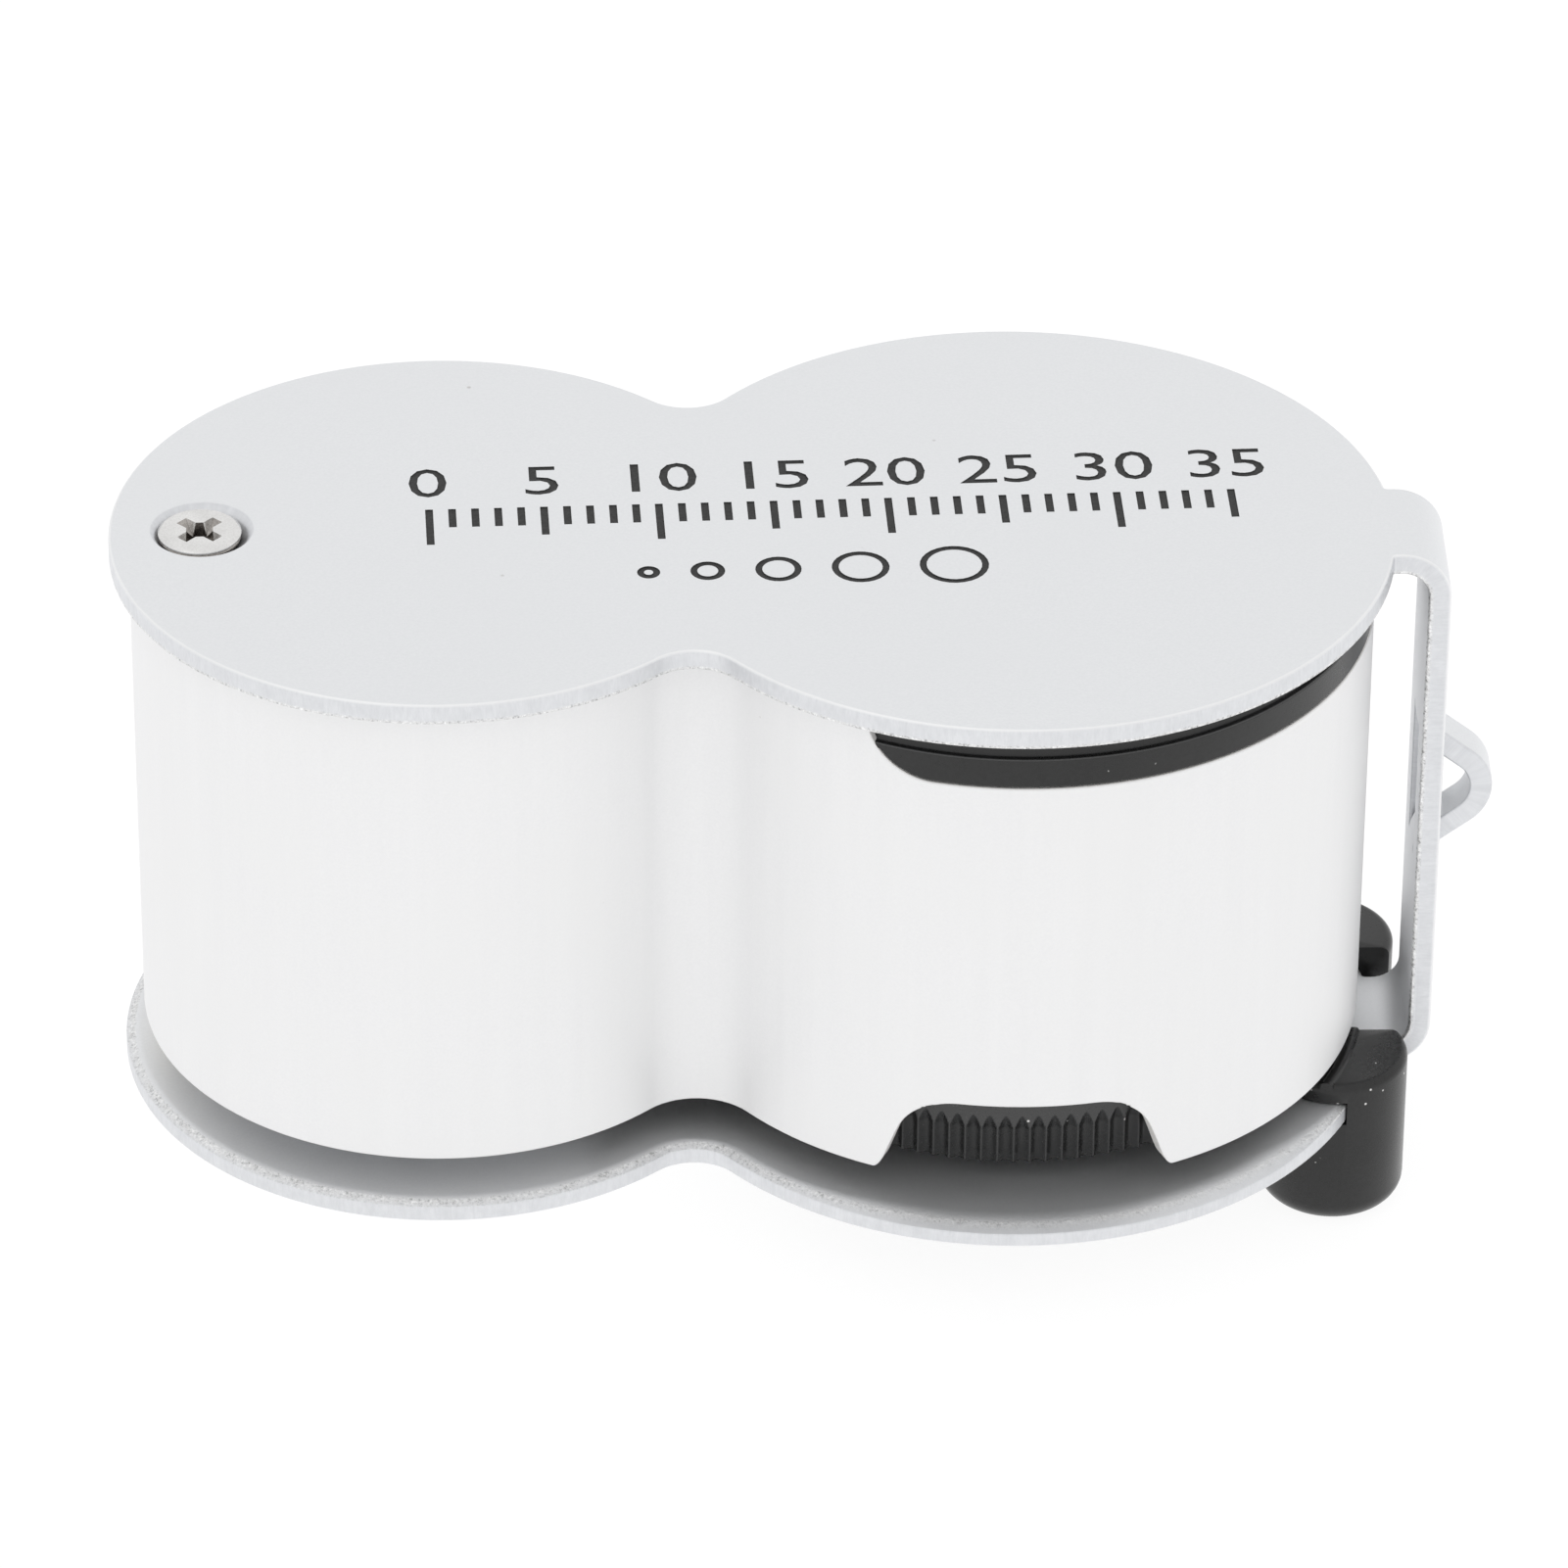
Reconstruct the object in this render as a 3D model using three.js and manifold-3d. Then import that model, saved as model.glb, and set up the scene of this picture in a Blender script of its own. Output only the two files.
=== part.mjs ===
// Folding pocket loupe: a lens body of figure-eight plan that swings out of a bent sheet cover.
// Millimetres, +Z up. The row frame's origin is the middle of the bounding box's bottom face.
// Inside, lengths are measured from the cover's large-lobe centre, at the bottom plate's underside:
// +X runs from the pivot end to the strip that joins the two plates.

import * as THREE from "three";
import { mergeVertices } from "three/addons/utils/BufferGeometryUtils.js";
import Module from "manifold-3d";

const wasm = await Module();
wasm.setup();

// ---- Cover: one sheet bent into a C, with a lanced lanyard loop ----
const SHEET = 1.0;
const HEIGHT = 26.8;
const PLATE = { large: 16.5, small: 14.25, centres: 25.1, fillet: 2.2 };
const STRIP_WIDTH = 5.6;
const STRIP_REACH = 18.85;
const BEND_RADIUS = 2.2;
const STRIP_ROOT = 12;
const LOOP_WIDTH = 1.9;
const LOOP_SLOT_WIDTH = 2.3;
const LOOP_HEIGHT = 13.6;
const LOOP_BULGE = 2.4;
const LOOP_FLARE_RADIUS = 1.2;
const LOOP_TIP_RADIUS = 1.8;
const LOOP_ANGLE = THREE.MathUtils.degToRad(52);

// ---- Pivot at the small lobe's end ----
const PIVOT_X = -35.4;
const SLEEVE = { inner: 0.85, outer: 1.6 };
const SLEEVE_HOLE = 1.66;
const SCREW = { head: 1.85, sink: 2.2, hole: 1.0, shank: 0.8, length: 5, coneDepth: 0.9 };
const RECESS = { span: 2.2, arm: 0.55, depth: 0.7 };

// ---- Lens body ----
const BODY_X = 0.15;
const SHELL = { large: 15.55, small: 13.35, centres: 25.3, fillet: 2.9 };
const SHELL_WALL = 1.0;
const SHELL_BOTTOM = 2.7;
const SHELL_TOP = 25.45;
const RIM_CUT_X = -7.1;
const RIM_CUT_Z = 23.2;
const RIM_CUT_RADIUS = 2.9;
const NOTCH = { foot: 6.32, top: 4.95, height: 6.75, radius: 2.7 };
const CORE_GAP = 0.1;
const CORE_BOTTOM = 2.9;
const CORE_TOP = 23.15;
const CAP_TOP = 25.4;
const CAP_STEP_Z = 24.65;
const CAP_STEP = 0.5;

// ---- Focusing: a knurled ring turns in the core and screws the lens cell up and down ----
const RING_RADIUS = 13.3;
const RING_FLUTES = 80;
const RING_FLUTE_DEPTH = 0.3;
const RING_BOTTOM = 2.2;
const RING_TOP = 6.1;
const RING_BORE = 11.3;
const RING_SLEEVE = 12.65;
const RING_SLEEVE_TOP = 12.0;
const BEAD = { radius: 13.0, bottom: 10.7, top: 11.3 };
const CELL_RADIUS = 11.95;
const CELL_BOTTOM = 7.0;
const CELL_TOP = 22.0;
const LENS_RADIUS = 10.98;
const KEY = { width: 1.2, reach: 12.6, bottom: 13.0, top: 20.5 };
const RUNNING = 0.08;

// ---- Battery and light ----
const BATTERY_X = -25.0;
const CELL = { radius: 5.8, height: 3.05, pitch: 3.1, count: 3, floor: 8.3 };
const POCKET_RADIUS = 5.95;
const POCKET_FLOOR = 7.0;
const LID = { radius: 6.82, top: 25.3, plug: 5.85, plugBottom: 21.9 };
const BOARD = { x0: -17.8, x1: -13.9, halfWidth: 5.6, bottom: 10.6, thick: 0.8 };
const LED = { x: -15.9, y: 3.4, radius: 1.45, flange: 1.55, tip: 3.5, top: 8.8 };
const SWITCH_START = 1.0;
const CASE_SCREWS = [[9.4, 9.4], [9.4, -9.4], [-29.3, 8.6], [-29.3, -8.6]];

// ---- Scale base, clipped on the bottom plate's edge on both sides of the strip ----
const FOOT_DROP = 5.6;
const LUG = { x: 14.5, y: 4.5, offset: 0.38, radius: 3.25, top: 1.95, mouth: 14.6, chamfer: 0.7 };
const LUG_LIP = { inner: 15.35, outer: 16.1, top: 2.35 };
const STRIP_CLEAR = 3.25;
const SLOT_GAP = 0.08;
const SCALE_RING = { outer: 12.4, inner: 9.2, seat: 10.4, top: -0.1, bottom: -2.6, ledge: -1.2 };

const MIDDLE_X = (STRIP_REACH + LOOP_BULGE - PLATE.centres - PLATE.small) / 2;
const PIVOT_IN_BODY = PIVOT_X - BODY_X;
const ROUND = 40;
const SMALL_ROUND = 16;

const FINISH = {
  anodised: { color: 0xc6c8cb, roughness: 0.42, metalness: 0.85 },
  shell: { color: 0xe4e5e7, roughness: 0.38, metalness: 0.7 },
  black: { color: 0x1c1c1d, roughness: 0.45, metalness: 0 },
  nickel: { color: 0xcfcfca, roughness: 0.2, metalness: 1 },
  brass: { color: 0xb8973f, roughness: 0.3, metalness: 1 },
  nylon: { color: 0xe9e7df, roughness: 0.6, metalness: 0 },
  glass: { color: 0xdfeef2, roughness: 0.04, metalness: 0 },
  steel: { color: 0xb9bcc0, roughness: 0.25, metalness: 1 },
  board: { color: 0x1f5a35, roughness: 0.5, metalness: 0 },
};

// ---------------------------------------------------------------- solids

function signedVolume(positions, triangles) {
  const a = new THREE.Vector3();
  const b = new THREE.Vector3();
  const c = new THREE.Vector3();
  let volume = 0;
  for (let i = 0; i < triangles.length; i += 3) {
    a.fromArray(positions, 3 * triangles[i]);
    b.fromArray(positions, 3 * triangles[i + 1]);
    c.fromArray(positions, 3 * triangles[i + 2]);
    volume += a.dot(b.cross(c)) / 6;
  }
  return volume;
}

// A closed three.js geometry as a solid, with its faces pointing out.
function solid(geometry) {
  geometry.deleteAttribute("normal");
  geometry.deleteAttribute("uv");
  const merged = mergeVertices(geometry, 1e-5);
  const vertProperties = new Float32Array(merged.attributes.position.array);
  const kept = [];
  const index = merged.index.array;
  for (let i = 0; i < index.length; i += 3) {
    const [a, b, c] = [index[i], index[i + 1], index[i + 2]];
    if (a !== b && b !== c && c !== a) {
      kept.push(a, b, c);
    }
  }
  if (signedVolume(vertProperties, kept) < 0) {
    kept.reverse();
  }
  const triVerts = new Uint32Array(kept);
  return new wasm.Manifold(new wasm.Mesh({ numProp: 3, vertProperties, triVerts }));
}

function geometryOf(body) {
  const mesh = body.getMesh();
  const positions = new Float32Array(3 * mesh.numVert);
  for (let i = 0; i < mesh.numVert; i += 1) {
    for (let k = 0; k < 3; k += 1) {
      positions[3 * i + k] = mesh.vertProperties[mesh.numProp * i + k];
    }
  }
  const geometry = new THREE.BufferGeometry();
  geometry.setAttribute("position", new THREE.BufferAttribute(positions, 3));
  geometry.setIndex(Array.from(mesh.triVerts));
  geometry.computeVertexNormals();
  return geometry;
}

function box(x0, x1, y0, y1, z0, z1) {
  const geometry = new THREE.BoxGeometry(x1 - x0, y1 - y0, z1 - z0);
  geometry.translate((x0 + x1) / 2, (y0 + y1) / 2, (z0 + z1) / 2);
  return solid(geometry);
}

function drum(radius, z0, z1, x = 0, y = 0, segments = ROUND) {
  const geometry = new THREE.CylinderGeometry(radius, radius, z1 - z0, segments);
  geometry.rotateX(Math.PI / 2);
  geometry.translate(x, y, (z0 + z1) / 2);
  return solid(geometry);
}

// Outline points [radius, height] turned about a vertical axis at (x, y).
function turned(profile, x = 0, y = 0, segments = ROUND) {
  const points = profile.map(([r, z]) => new THREE.Vector2(r, z));
  const geometry = new THREE.LatheGeometry(points, segments);
  geometry.rotateX(Math.PI / 2);
  geometry.translate(x, y, 0);
  return solid(geometry);
}

function ring(inner, outer, z0, z1, x = 0, y = 0, segments = ROUND) {
  const profile = [[inner, z0], [outer, z0], [outer, z1], [inner, z1], [inner, z0]];
  return turned(profile, x, y, segments);
}

function prism(outline, z0, z1) {
  const shape = new THREE.Shape(outline);
  const geometry = new THREE.ExtrudeGeometry(shape, { depth: z1 - z0, bevelEnabled: false });
  geometry.translate(0, 0, z0);
  return solid(geometry);
}

// An outline drawn in X and Z, as thick as width along Y and centred on Y = 0.
function sideways(outline, width) {
  const shape = new THREE.Shape(outline);
  const geometry = new THREE.ExtrudeGeometry(shape, { depth: width, bevelEnabled: false });
  geometry.rotateX(Math.PI / 2);
  geometry.translate(0, width / 2, 0);
  return solid(geometry);
}

// ---------------------------------------------------------------- outlines

function arc(x, y, radius, start, end, steps) {
  const points = [];
  for (let i = 0; i <= steps; i += 1) {
    const angle = start + ((end - start) * i) / steps;
    points.push(new THREE.Vector2(x + radius * Math.cos(angle), y + radius * Math.sin(angle)));
  }
  return points;
}

// Two round lobes joined by concave arcs that touch both; grow moves the outline outwards.
function figureEight(size, grow = 0) {
  const large = size.large + grow;
  const small = size.small + grow;
  const fillet = size.fillet - grow;
  const d = size.centres;
  const waistX = -(d * d + (large + fillet) ** 2 - (small + fillet) ** 2) / (2 * d);
  const waistY = Math.sqrt((large + fillet) ** 2 - waistX ** 2);
  const largeEnd = Math.atan2(waistY, waistX);
  const smallEnd = Math.atan2(waistY, waistX + d);
  const largeArc = arc(0, 0, large, -largeEnd, largeEnd, 48);
  const upperFillet = arc(waistX, waistY, fillet, largeEnd - Math.PI, smallEnd - Math.PI, 5);
  const smallArc = arc(-d, 0, small, smallEnd, 2 * Math.PI - smallEnd, 40);
  const lowerFillet = arc(waistX, -waistY, fillet, Math.PI - smallEnd, Math.PI - largeEnd, 5);
  return [
    ...largeArc,
    ...upperFillet.slice(1),
    ...smallArc.slice(1),
    ...lowerFillet.slice(1, -1),
  ];
}

// A centreline with half the thickness set off on each side.
function band(line, half) {
  const left = [];
  const right = [];
  for (let i = 0; i < line.length; i += 1) {
    const before = line[Math.max(i - 1, 0)];
    const after = line[Math.min(i + 1, line.length - 1)];
    const normal = after.clone().sub(before).normalize().rotateAround(new THREE.Vector2(), Math.PI / 2);
    left.push(line[i].clone().addScaledVector(normal, half));
    right.push(line[i].clone().addScaledVector(normal, -half));
  }
  return [...left, ...right.reverse()];
}

// ---------------------------------------------------------------- cover

function bentStrip() {
  const outerX = STRIP_REACH - BEND_RADIUS;
  const inner = BEND_RADIUS - SHEET;
  const low = BEND_RADIUS;
  const high = HEIGHT - BEND_RADIUS;
  const quarter = Math.PI / 2;
  const outline = [
    new THREE.Vector2(STRIP_ROOT, 0),
    ...arc(outerX, low, BEND_RADIUS, -quarter, 0, 8),
    ...arc(outerX, high, BEND_RADIUS, 0, quarter, 8),
    new THREE.Vector2(STRIP_ROOT, HEIGHT),
    new THREE.Vector2(STRIP_ROOT, HEIGHT - SHEET),
    ...arc(outerX, high, inner, quarter, 0, 8),
    ...arc(outerX, low, inner, 0, -quarter, 8),
    new THREE.Vector2(STRIP_ROOT, SHEET),
  ];
  return sideways(outline, STRIP_WIDTH);
}

// Half the loop's height: flare, straight side and half of the round tip.
function loopHalfHeight() {
  const arcs = LOOP_FLARE_RADIUS + LOOP_TIP_RADIUS;
  const straight = (LOOP_BULGE - arcs * (1 - Math.cos(LOOP_ANGLE))) / Math.sin(LOOP_ANGLE);
  return arcs * Math.sin(LOOP_ANGLE) + straight * Math.cos(LOOP_ANGLE);
}

function lanyardLoop() {
  const x = STRIP_REACH - SHEET / 2;
  const half = loopHalfHeight();
  const top = LOOP_HEIGHT + half;
  const bottom = LOOP_HEIGHT - half;
  const overlap = 0.6;
  const flareX = x + LOOP_FLARE_RADIUS;
  const tipX = x + LOOP_BULGE - LOOP_TIP_RADIUS;
  const centreline = [
    new THREE.Vector2(x, top + overlap),
    ...arc(flareX, top, LOOP_FLARE_RADIUS, Math.PI, Math.PI + LOOP_ANGLE, 4),
    ...arc(tipX, LOOP_HEIGHT, LOOP_TIP_RADIUS, LOOP_ANGLE, -LOOP_ANGLE, 8),
    ...arc(flareX, bottom, LOOP_FLARE_RADIUS, Math.PI - LOOP_ANGLE, Math.PI, 4),
    new THREE.Vector2(x, bottom - overlap),
  ];
  return sideways(band(centreline, SHEET / 2), LOOP_WIDTH);
}

// A countersunk hole whose wide end is at the outer face; up is +1 for the top plate.
function pivotHole(face, up) {
  const deep = SCREW.coneDepth;
  const profile = [
    [0, face + up],
    [SCREW.sink, face + up],
    [SCREW.sink, face],
    [SCREW.hole, face - up * deep],
    [SCREW.hole, face - up * 2 * SHEET],
    [0, face - up * 2 * SHEET],
  ];
  return turned(profile, PIVOT_X, 0, SMALL_ROUND);
}

function coverFrame() {
  const outline = figureEight(PLATE);
  const half = loopHalfHeight();
  const slotHalf = LOOP_SLOT_WIDTH / 2;
  const slot = box(
    STRIP_REACH - 2 * SHEET, STRIP_REACH + SHEET, -slotHalf, slotHalf,
    LOOP_HEIGHT - half, LOOP_HEIGHT + half,
  );
  return prism(outline, 0, SHEET)
    .add(prism(outline, HEIGHT - SHEET, HEIGHT))
    .add(bentStrip())
    .subtract(slot)
    .add(lanyardLoop())
    .subtract(pivotHole(HEIGHT, 1))
    .subtract(pivotHole(0, -1));
}

// ---------------------------------------------------------------- pivot

function crossRecess(span, arm, depth, face, up, x, y) {
  const z0 = Math.min(face + up, face - up * depth);
  const z1 = Math.max(face + up, face - up * depth);
  const first = box(-span / 2, span / 2, -arm / 2, arm / 2, z0, z1);
  const second = box(-arm / 2, arm / 2, -span / 2, span / 2, z0, z1);
  return first.add(second).rotate([0, 0, 45]).translate([x, y, 0]);
}

function pivotScrew(face, up) {
  const sunk = 0.05;
  const top = face - up * sunk;
  const rim = 0.12;
  const coneEnd = SCREW.coneDepth + 0.05;
  const profile = [
    [0, top],
    [SCREW.head - rim, top],
    [SCREW.head, top - up * rim],
    [SCREW.shank, top - up * coneEnd],
    [SCREW.shank, top - up * SCREW.length],
    [0, top - up * SCREW.length],
  ];
  const blank = turned(profile, PIVOT_X, 0, SMALL_ROUND);
  return blank.subtract(crossRecess(RECESS.span, RECESS.arm, RECESS.depth, top, up, PIVOT_X, 0));
}

function pivotSleeve() {
  const gap = 0.02;
  return ring(SLEEVE.inner, SLEEVE.outer, SHEET + gap, HEIGHT - SHEET - gap, PIVOT_X, 0, SMALL_ROUND);
}

function frictionWasher() {
  return ring(SLEEVE_HOLE, 2.9, SHELL_TOP + 0.05, HEIGHT - SHEET - 0.05, PIVOT_X, 0, SMALL_ROUND);
}

function spacerBush() {
  return turned([
    [SLEEVE_HOLE, SHEET + 0.05],
    [2.7, SHEET + 0.05],
    [2.7, SHELL_BOTTOM - 0.1],
    [2.0, SHELL_BOTTOM - 0.1],
    [2.0, CORE_BOTTOM - 0.05],
    [SLEEVE_HOLE, CORE_BOTTOM - 0.05],
    [SLEEVE_HOLE, SHEET + 0.05],
  ], PIVOT_X, 0, SMALL_ROUND);
}

// ---------------------------------------------------------------- lens body

// The opening at the lens end of the shell's upper rim; shrink leaves a fitting gap.
function rimCut(shrink) {
  const x = RIM_CUT_X + shrink;
  const z = RIM_CUT_Z + shrink;
  const r = RIM_CUT_RADIUS - shrink;
  const outline = [
    new THREE.Vector2(x, SHELL_TOP + 2),
    ...arc(x + r, z + r, r, Math.PI, 1.5 * Math.PI, 8),
    new THREE.Vector2(SHELL.large + 3, z),
    new THREE.Vector2(SHELL.large + 3, SHELL_TOP + 2),
  ];
  return sideways(outline, 2 * SHELL.large + 4);
}

// The finger notches over the focusing ring, cut through both long sides.
function fingerNotch() {
  const slope = Math.atan2(NOTCH.height - SHELL_BOTTOM, NOTCH.foot - NOTCH.top);
  const r = NOTCH.radius;
  const cornerX = NOTCH.top - r * Math.tan(slope / 2);
  const right = arc(cornerX, NOTCH.height - r, r, Math.PI / 2, Math.PI / 2 - slope, 5);
  right.push(new THREE.Vector2(NOTCH.foot + 1 / Math.tan(slope), SHELL_BOTTOM - 1));
  const left = right.map((p) => new THREE.Vector2(-p.x, p.y)).reverse();
  return sideways([...left, ...right], 2 * SHELL.large + 4);
}

function bodyShell() {
  const outside = prism(figureEight(SHELL), SHELL_BOTTOM, SHELL_TOP);
  const inside = prism(figureEight(SHELL, -SHELL_WALL), SHELL_BOTTOM - 1, SHELL_TOP + 1);
  return outside.subtract(inside).subtract(rimCut(0)).subtract(fingerNotch());
}

function innerCore() {
  const above = CORE_TOP + 1;
  const below = CORE_BOTTOM - 1;
  const sleeveTop = RING_SLEEVE_TOP + 0.2;
  const keyHalf = KEY.width / 2 + 0.1;
  const keyReach = KEY.reach + 0.1;
  let core = prism(figureEight(SHELL, -SHELL_WALL - CORE_GAP), CORE_BOTTOM, CORE_TOP)
    .subtract(drum(CELL_RADIUS + 0.1, below, above))
    .subtract(drum(RING_SLEEVE + 0.1, below, sleeveTop))
    .subtract(drum(BEAD.radius + 0.1, BEAD.bottom - 0.1, BEAD.top + 0.1))
    .subtract(drum(RING_RADIUS + 0.2, below, RING_TOP + 0.2))
    .subtract(box(-keyHalf, keyHalf, -keyReach, keyReach, sleeveTop, above))
    .subtract(drum(POCKET_RADIUS, POCKET_FLOOR, above, BATTERY_X, 0, 32))
    .subtract(drum(SLEEVE_HOLE, below, above, PIVOT_IN_BODY, 0, SMALL_ROUND))
    .subtract(box(
      BOARD.x0 - 0.2, BOARD.x1 + 0.2, -BOARD.halfWidth - 0.2, BOARD.halfWidth + 0.2,
      BOARD.bottom - 0.1, above,
    ))
    .subtract(box(-19.4, BOARD.x0, -1.5, 1.5, 18, above))
    .subtract(box(13.3, 14.3, -2.7, 2.7, 22.7, above))
    .subtract(fingerNotch());
  for (const side of [-1, 1]) {
    core = core.subtract(drum(LED.flange + 0.1, below, BOARD.bottom, LED.x, side * LED.y, 16));
  }
  for (const [x, y] of CASE_SCREWS) {
    core = core.subtract(drum(0.75, 16.5, above, x, y, 12));
  }
  return core;
}

function topCap() {
  const above = CAP_TOP + 1;
  const flush = prism(figureEight(SHELL, -0.05), RIM_CUT_Z, CAP_STEP_Z)
    .add(prism(figureEight(SHELL, -CAP_STEP), RIM_CUT_Z, CAP_TOP))
    .intersect(rimCut(0.05));
  let cap = prism(figureEight(SHELL, -SHELL_WALL - CORE_GAP), CORE_TOP + 0.05, CAP_TOP)
    .add(flush)
    .subtract(turned([
      [0, CORE_TOP - 1],
      [CELL_RADIUS + 0.15, CORE_TOP - 1],
      [CELL_RADIUS + 0.15, CAP_TOP - 0.1],
      [CELL_RADIUS + 0.25, CAP_TOP],
      [CELL_RADIUS + 0.25, above],
      [0, above],
    ]))
    .subtract(drum(LID.radius + RUNNING, CORE_TOP - 1, above, BATTERY_X, 0, 32))
    .subtract(drum(SLEEVE_HOLE, CORE_TOP - 1, above, PIVOT_IN_BODY, 0, SMALL_ROUND))
    .subtract(box(13.2, 15.0, -3.2, 3.2, CORE_TOP, 24.9))
    .subtract(box(14.9, 17, -2.25, 2.25, 23.85, 24.65));
  for (const [x, y] of CASE_SCREWS) {
    cap = cap.subtract(turned([
      [0, CORE_TOP - 1],
      [0.8, CORE_TOP - 1],
      [0.8, CAP_TOP - 0.7],
      [1.05, CAP_TOP - 0.45],
      [1.05, above],
      [0, above],
    ], x, y, 12));
  }
  return cap;
}

function caseScrew(x, y) {
  const top = CAP_TOP - 0.1;
  const profile = [
    [0, 17],
    [0.7, 17],
    [0.7, CAP_TOP - 0.7],
    [0.95, CAP_TOP - 0.4],
    [0.95, top],
    [0, top],
  ];
  return turned(profile, x, y, 12).subtract(crossRecess(1.1, 0.3, 0.4, top, 1, x, y));
}

// ---------------------------------------------------------------- focusing

function focusRing() {
  const knurl = [];
  for (let i = 0; i < 2 * RING_FLUTES; i += 1) {
    const angle = (Math.PI * i) / RING_FLUTES;
    const radius = RING_RADIUS - (i % 2) * RING_FLUTE_DEPTH;
    knurl.push(new THREE.Vector2(radius * Math.cos(angle), radius * Math.sin(angle)));
  }
  const floor = RING_TOP + 0.5;
  return prism(knurl, RING_BOTTOM, RING_TOP)
    .add(drum(RING_SLEEVE, RING_BOTTOM + 1, RING_SLEEVE_TOP))
    .add(drum(BEAD.radius, BEAD.bottom, BEAD.top))
    .subtract(drum(RING_BORE, RING_BOTTOM - 1, floor + 0.1))
    .subtract(drum(CELL_RADIUS + RUNNING, floor, RING_SLEEVE_TOP + 1));
}

function lensCell() {
  const seat = 9.0;
  const bore = LENS_RADIUS + 0.05;
  const tube = turned([
    [10.1, CELL_BOTTOM],
    [CELL_RADIUS, CELL_BOTTOM],
    [CELL_RADIUS, CELL_TOP],
    [bore, CELL_TOP],
    [bore, seat],
    [10.1, seat],
    [10.1, CELL_BOTTOM],
  ]);
  const half = KEY.width / 2;
  const keys = box(-half, half, -KEY.reach, KEY.reach, KEY.bottom, KEY.top)
    .subtract(drum(CELL_RADIUS - 0.3, KEY.bottom - 1, KEY.top + 1));
  return tube.add(keys);
}

// A lens with a flat seating rim; sagLow and sagHigh are the two domes' heights.
function lens(z0, rimHeight, sagLow, sagHigh) {
  const dome = 10.0;
  const steps = 5;
  const z1 = z0 + rimHeight;
  const profile = [];
  for (let i = 0; i <= steps; i += 1) {
    const r = (dome * i) / steps;
    profile.push([r, z0 - sagLow * (1 - (r / dome) ** 2)]);
  }
  profile.push([LENS_RADIUS, z0], [LENS_RADIUS, z1]);
  for (let i = steps; i >= 0; i -= 1) {
    const r = (dome * i) / steps;
    profile.push([r, z1 + sagHigh * (1 - (r / dome) ** 2)]);
  }
  return turned(profile, 0, 0, 36);
}

function retainingRing() {
  const body = ring(10.1, LENS_RADIUS, 18.2, 19.6, 0, 0, 36);
  return body.subtract(box(-0.6, 0.6, -12, 12, 18.9, 21));
}

// ---------------------------------------------------------------- battery and light

function batteryLid() {
  const slotHalf = 4.4;
  return turned([
    [0, LID.plugBottom],
    [LID.plug, LID.plugBottom],
    [LID.plug, CORE_TOP + 0.15],
    [LID.radius, CORE_TOP + 0.15],
    [LID.radius, LID.top - 0.3],
    [LID.radius - 0.3, LID.top],
    [0, LID.top],
  ], BATTERY_X, 0, 32).subtract(box(
    BATTERY_X - 0.7, BATTERY_X + 0.7, -slotHalf, slotHalf, LID.top - 0.9, LID.top + 1,
  ));
}

function buttonCell(index) {
  const z0 = CELL.floor + index * CELL.pitch;
  const z1 = z0 + CELL.height;
  const step = 0.35;
  return turned([
    [0, z0],
    [CELL.radius - 1, z0],
    [CELL.radius - 1, z0 + step],
    [CELL.radius, z0 + step],
    [CELL.radius, z1],
    [0, z1],
  ], BATTERY_X, 0, 28);
}

function contactPlate() {
  const plate = drum(5.4, POCKET_FLOOR + 0.05, POCKET_FLOOR + 0.35, BATTERY_X, 0, 24);
  const dimple = drum(1.5, POCKET_FLOOR + 0.2, CELL.floor - 0.05, BATTERY_X, 0, 12);
  return plate.add(dimple);
}

// Conical spring between the top cell and the lid.
function contactSpring() {
  const turns = 3;
  const steps = 36;
  const wire = 0.22;
  const low = CELL.floor + 2 * CELL.pitch + CELL.height + wire + 0.08;
  const high = LID.plugBottom - wire - 0.08;
  const points = [];
  for (let i = 0; i <= steps; i += 1) {
    const t = i / steps;
    const radius = 4.4 - 2.2 * t;
    const angle = 2 * Math.PI * turns * t;
    const z = low + (high - low) * t;
    points.push(new THREE.Vector3(BATTERY_X + radius * Math.cos(angle), radius * Math.sin(angle), z));
  }
  const section = new THREE.Shape(arc(0, 0, wire, 0, 2 * Math.PI, 6).slice(0, -1));
  const path = new THREE.CatmullRomCurve3(points);
  return solid(new THREE.ExtrudeGeometry(section, { steps, extrudePath: path, bevelEnabled: false }));
}

function ledBoard() {
  const half = BOARD.halfWidth;
  const blank = box(BOARD.x0, BOARD.x1, -half, half, BOARD.bottom, BOARD.bottom + BOARD.thick);
  return blank.add(box(-16.6, -15.2, -0.6, 0.6, BOARD.bottom + 0.4, BOARD.bottom + 1.3));
}

function led(side) {
  const y = side * LED.y;
  const profile = [[0, LED.tip]];
  for (const p of arc(0, LED.tip + LED.radius, LED.radius, -Math.PI / 2, 0, 4).slice(1)) {
    profile.push([p.x, p.y]);
  }
  profile.push([LED.radius, LED.top - 0.7], [LED.flange, LED.top - 0.7], [LED.flange, LED.top], [0, LED.top]);
  let body = turned(profile, LED.x, y, 16);
  for (const lead of [-0.6, 0.6]) {
    const x = LED.x + lead;
    body = body.add(box(x - 0.2, x + 0.2, y - 0.2, y + 0.2, LED.top - 0.3, BOARD.bottom - 0.05));
  }
  return body;
}

function lightSwitch() {
  const y = SWITCH_START;
  const shoe = box(13.3, 14.9, y - 2.0, y + 2.0, CORE_TOP + 0.15, 24.8);
  const knob = box(14.8, 15.95, y - 1.1, y + 1.1, 23.95, 24.57);
  return shoe.add(knob);
}

function switchContact() {
  return box(13.4, 14.2, -2.6, 2.6, 22.75, CORE_TOP - 0.05);
}

// ---------------------------------------------------------------- scale base

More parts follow.
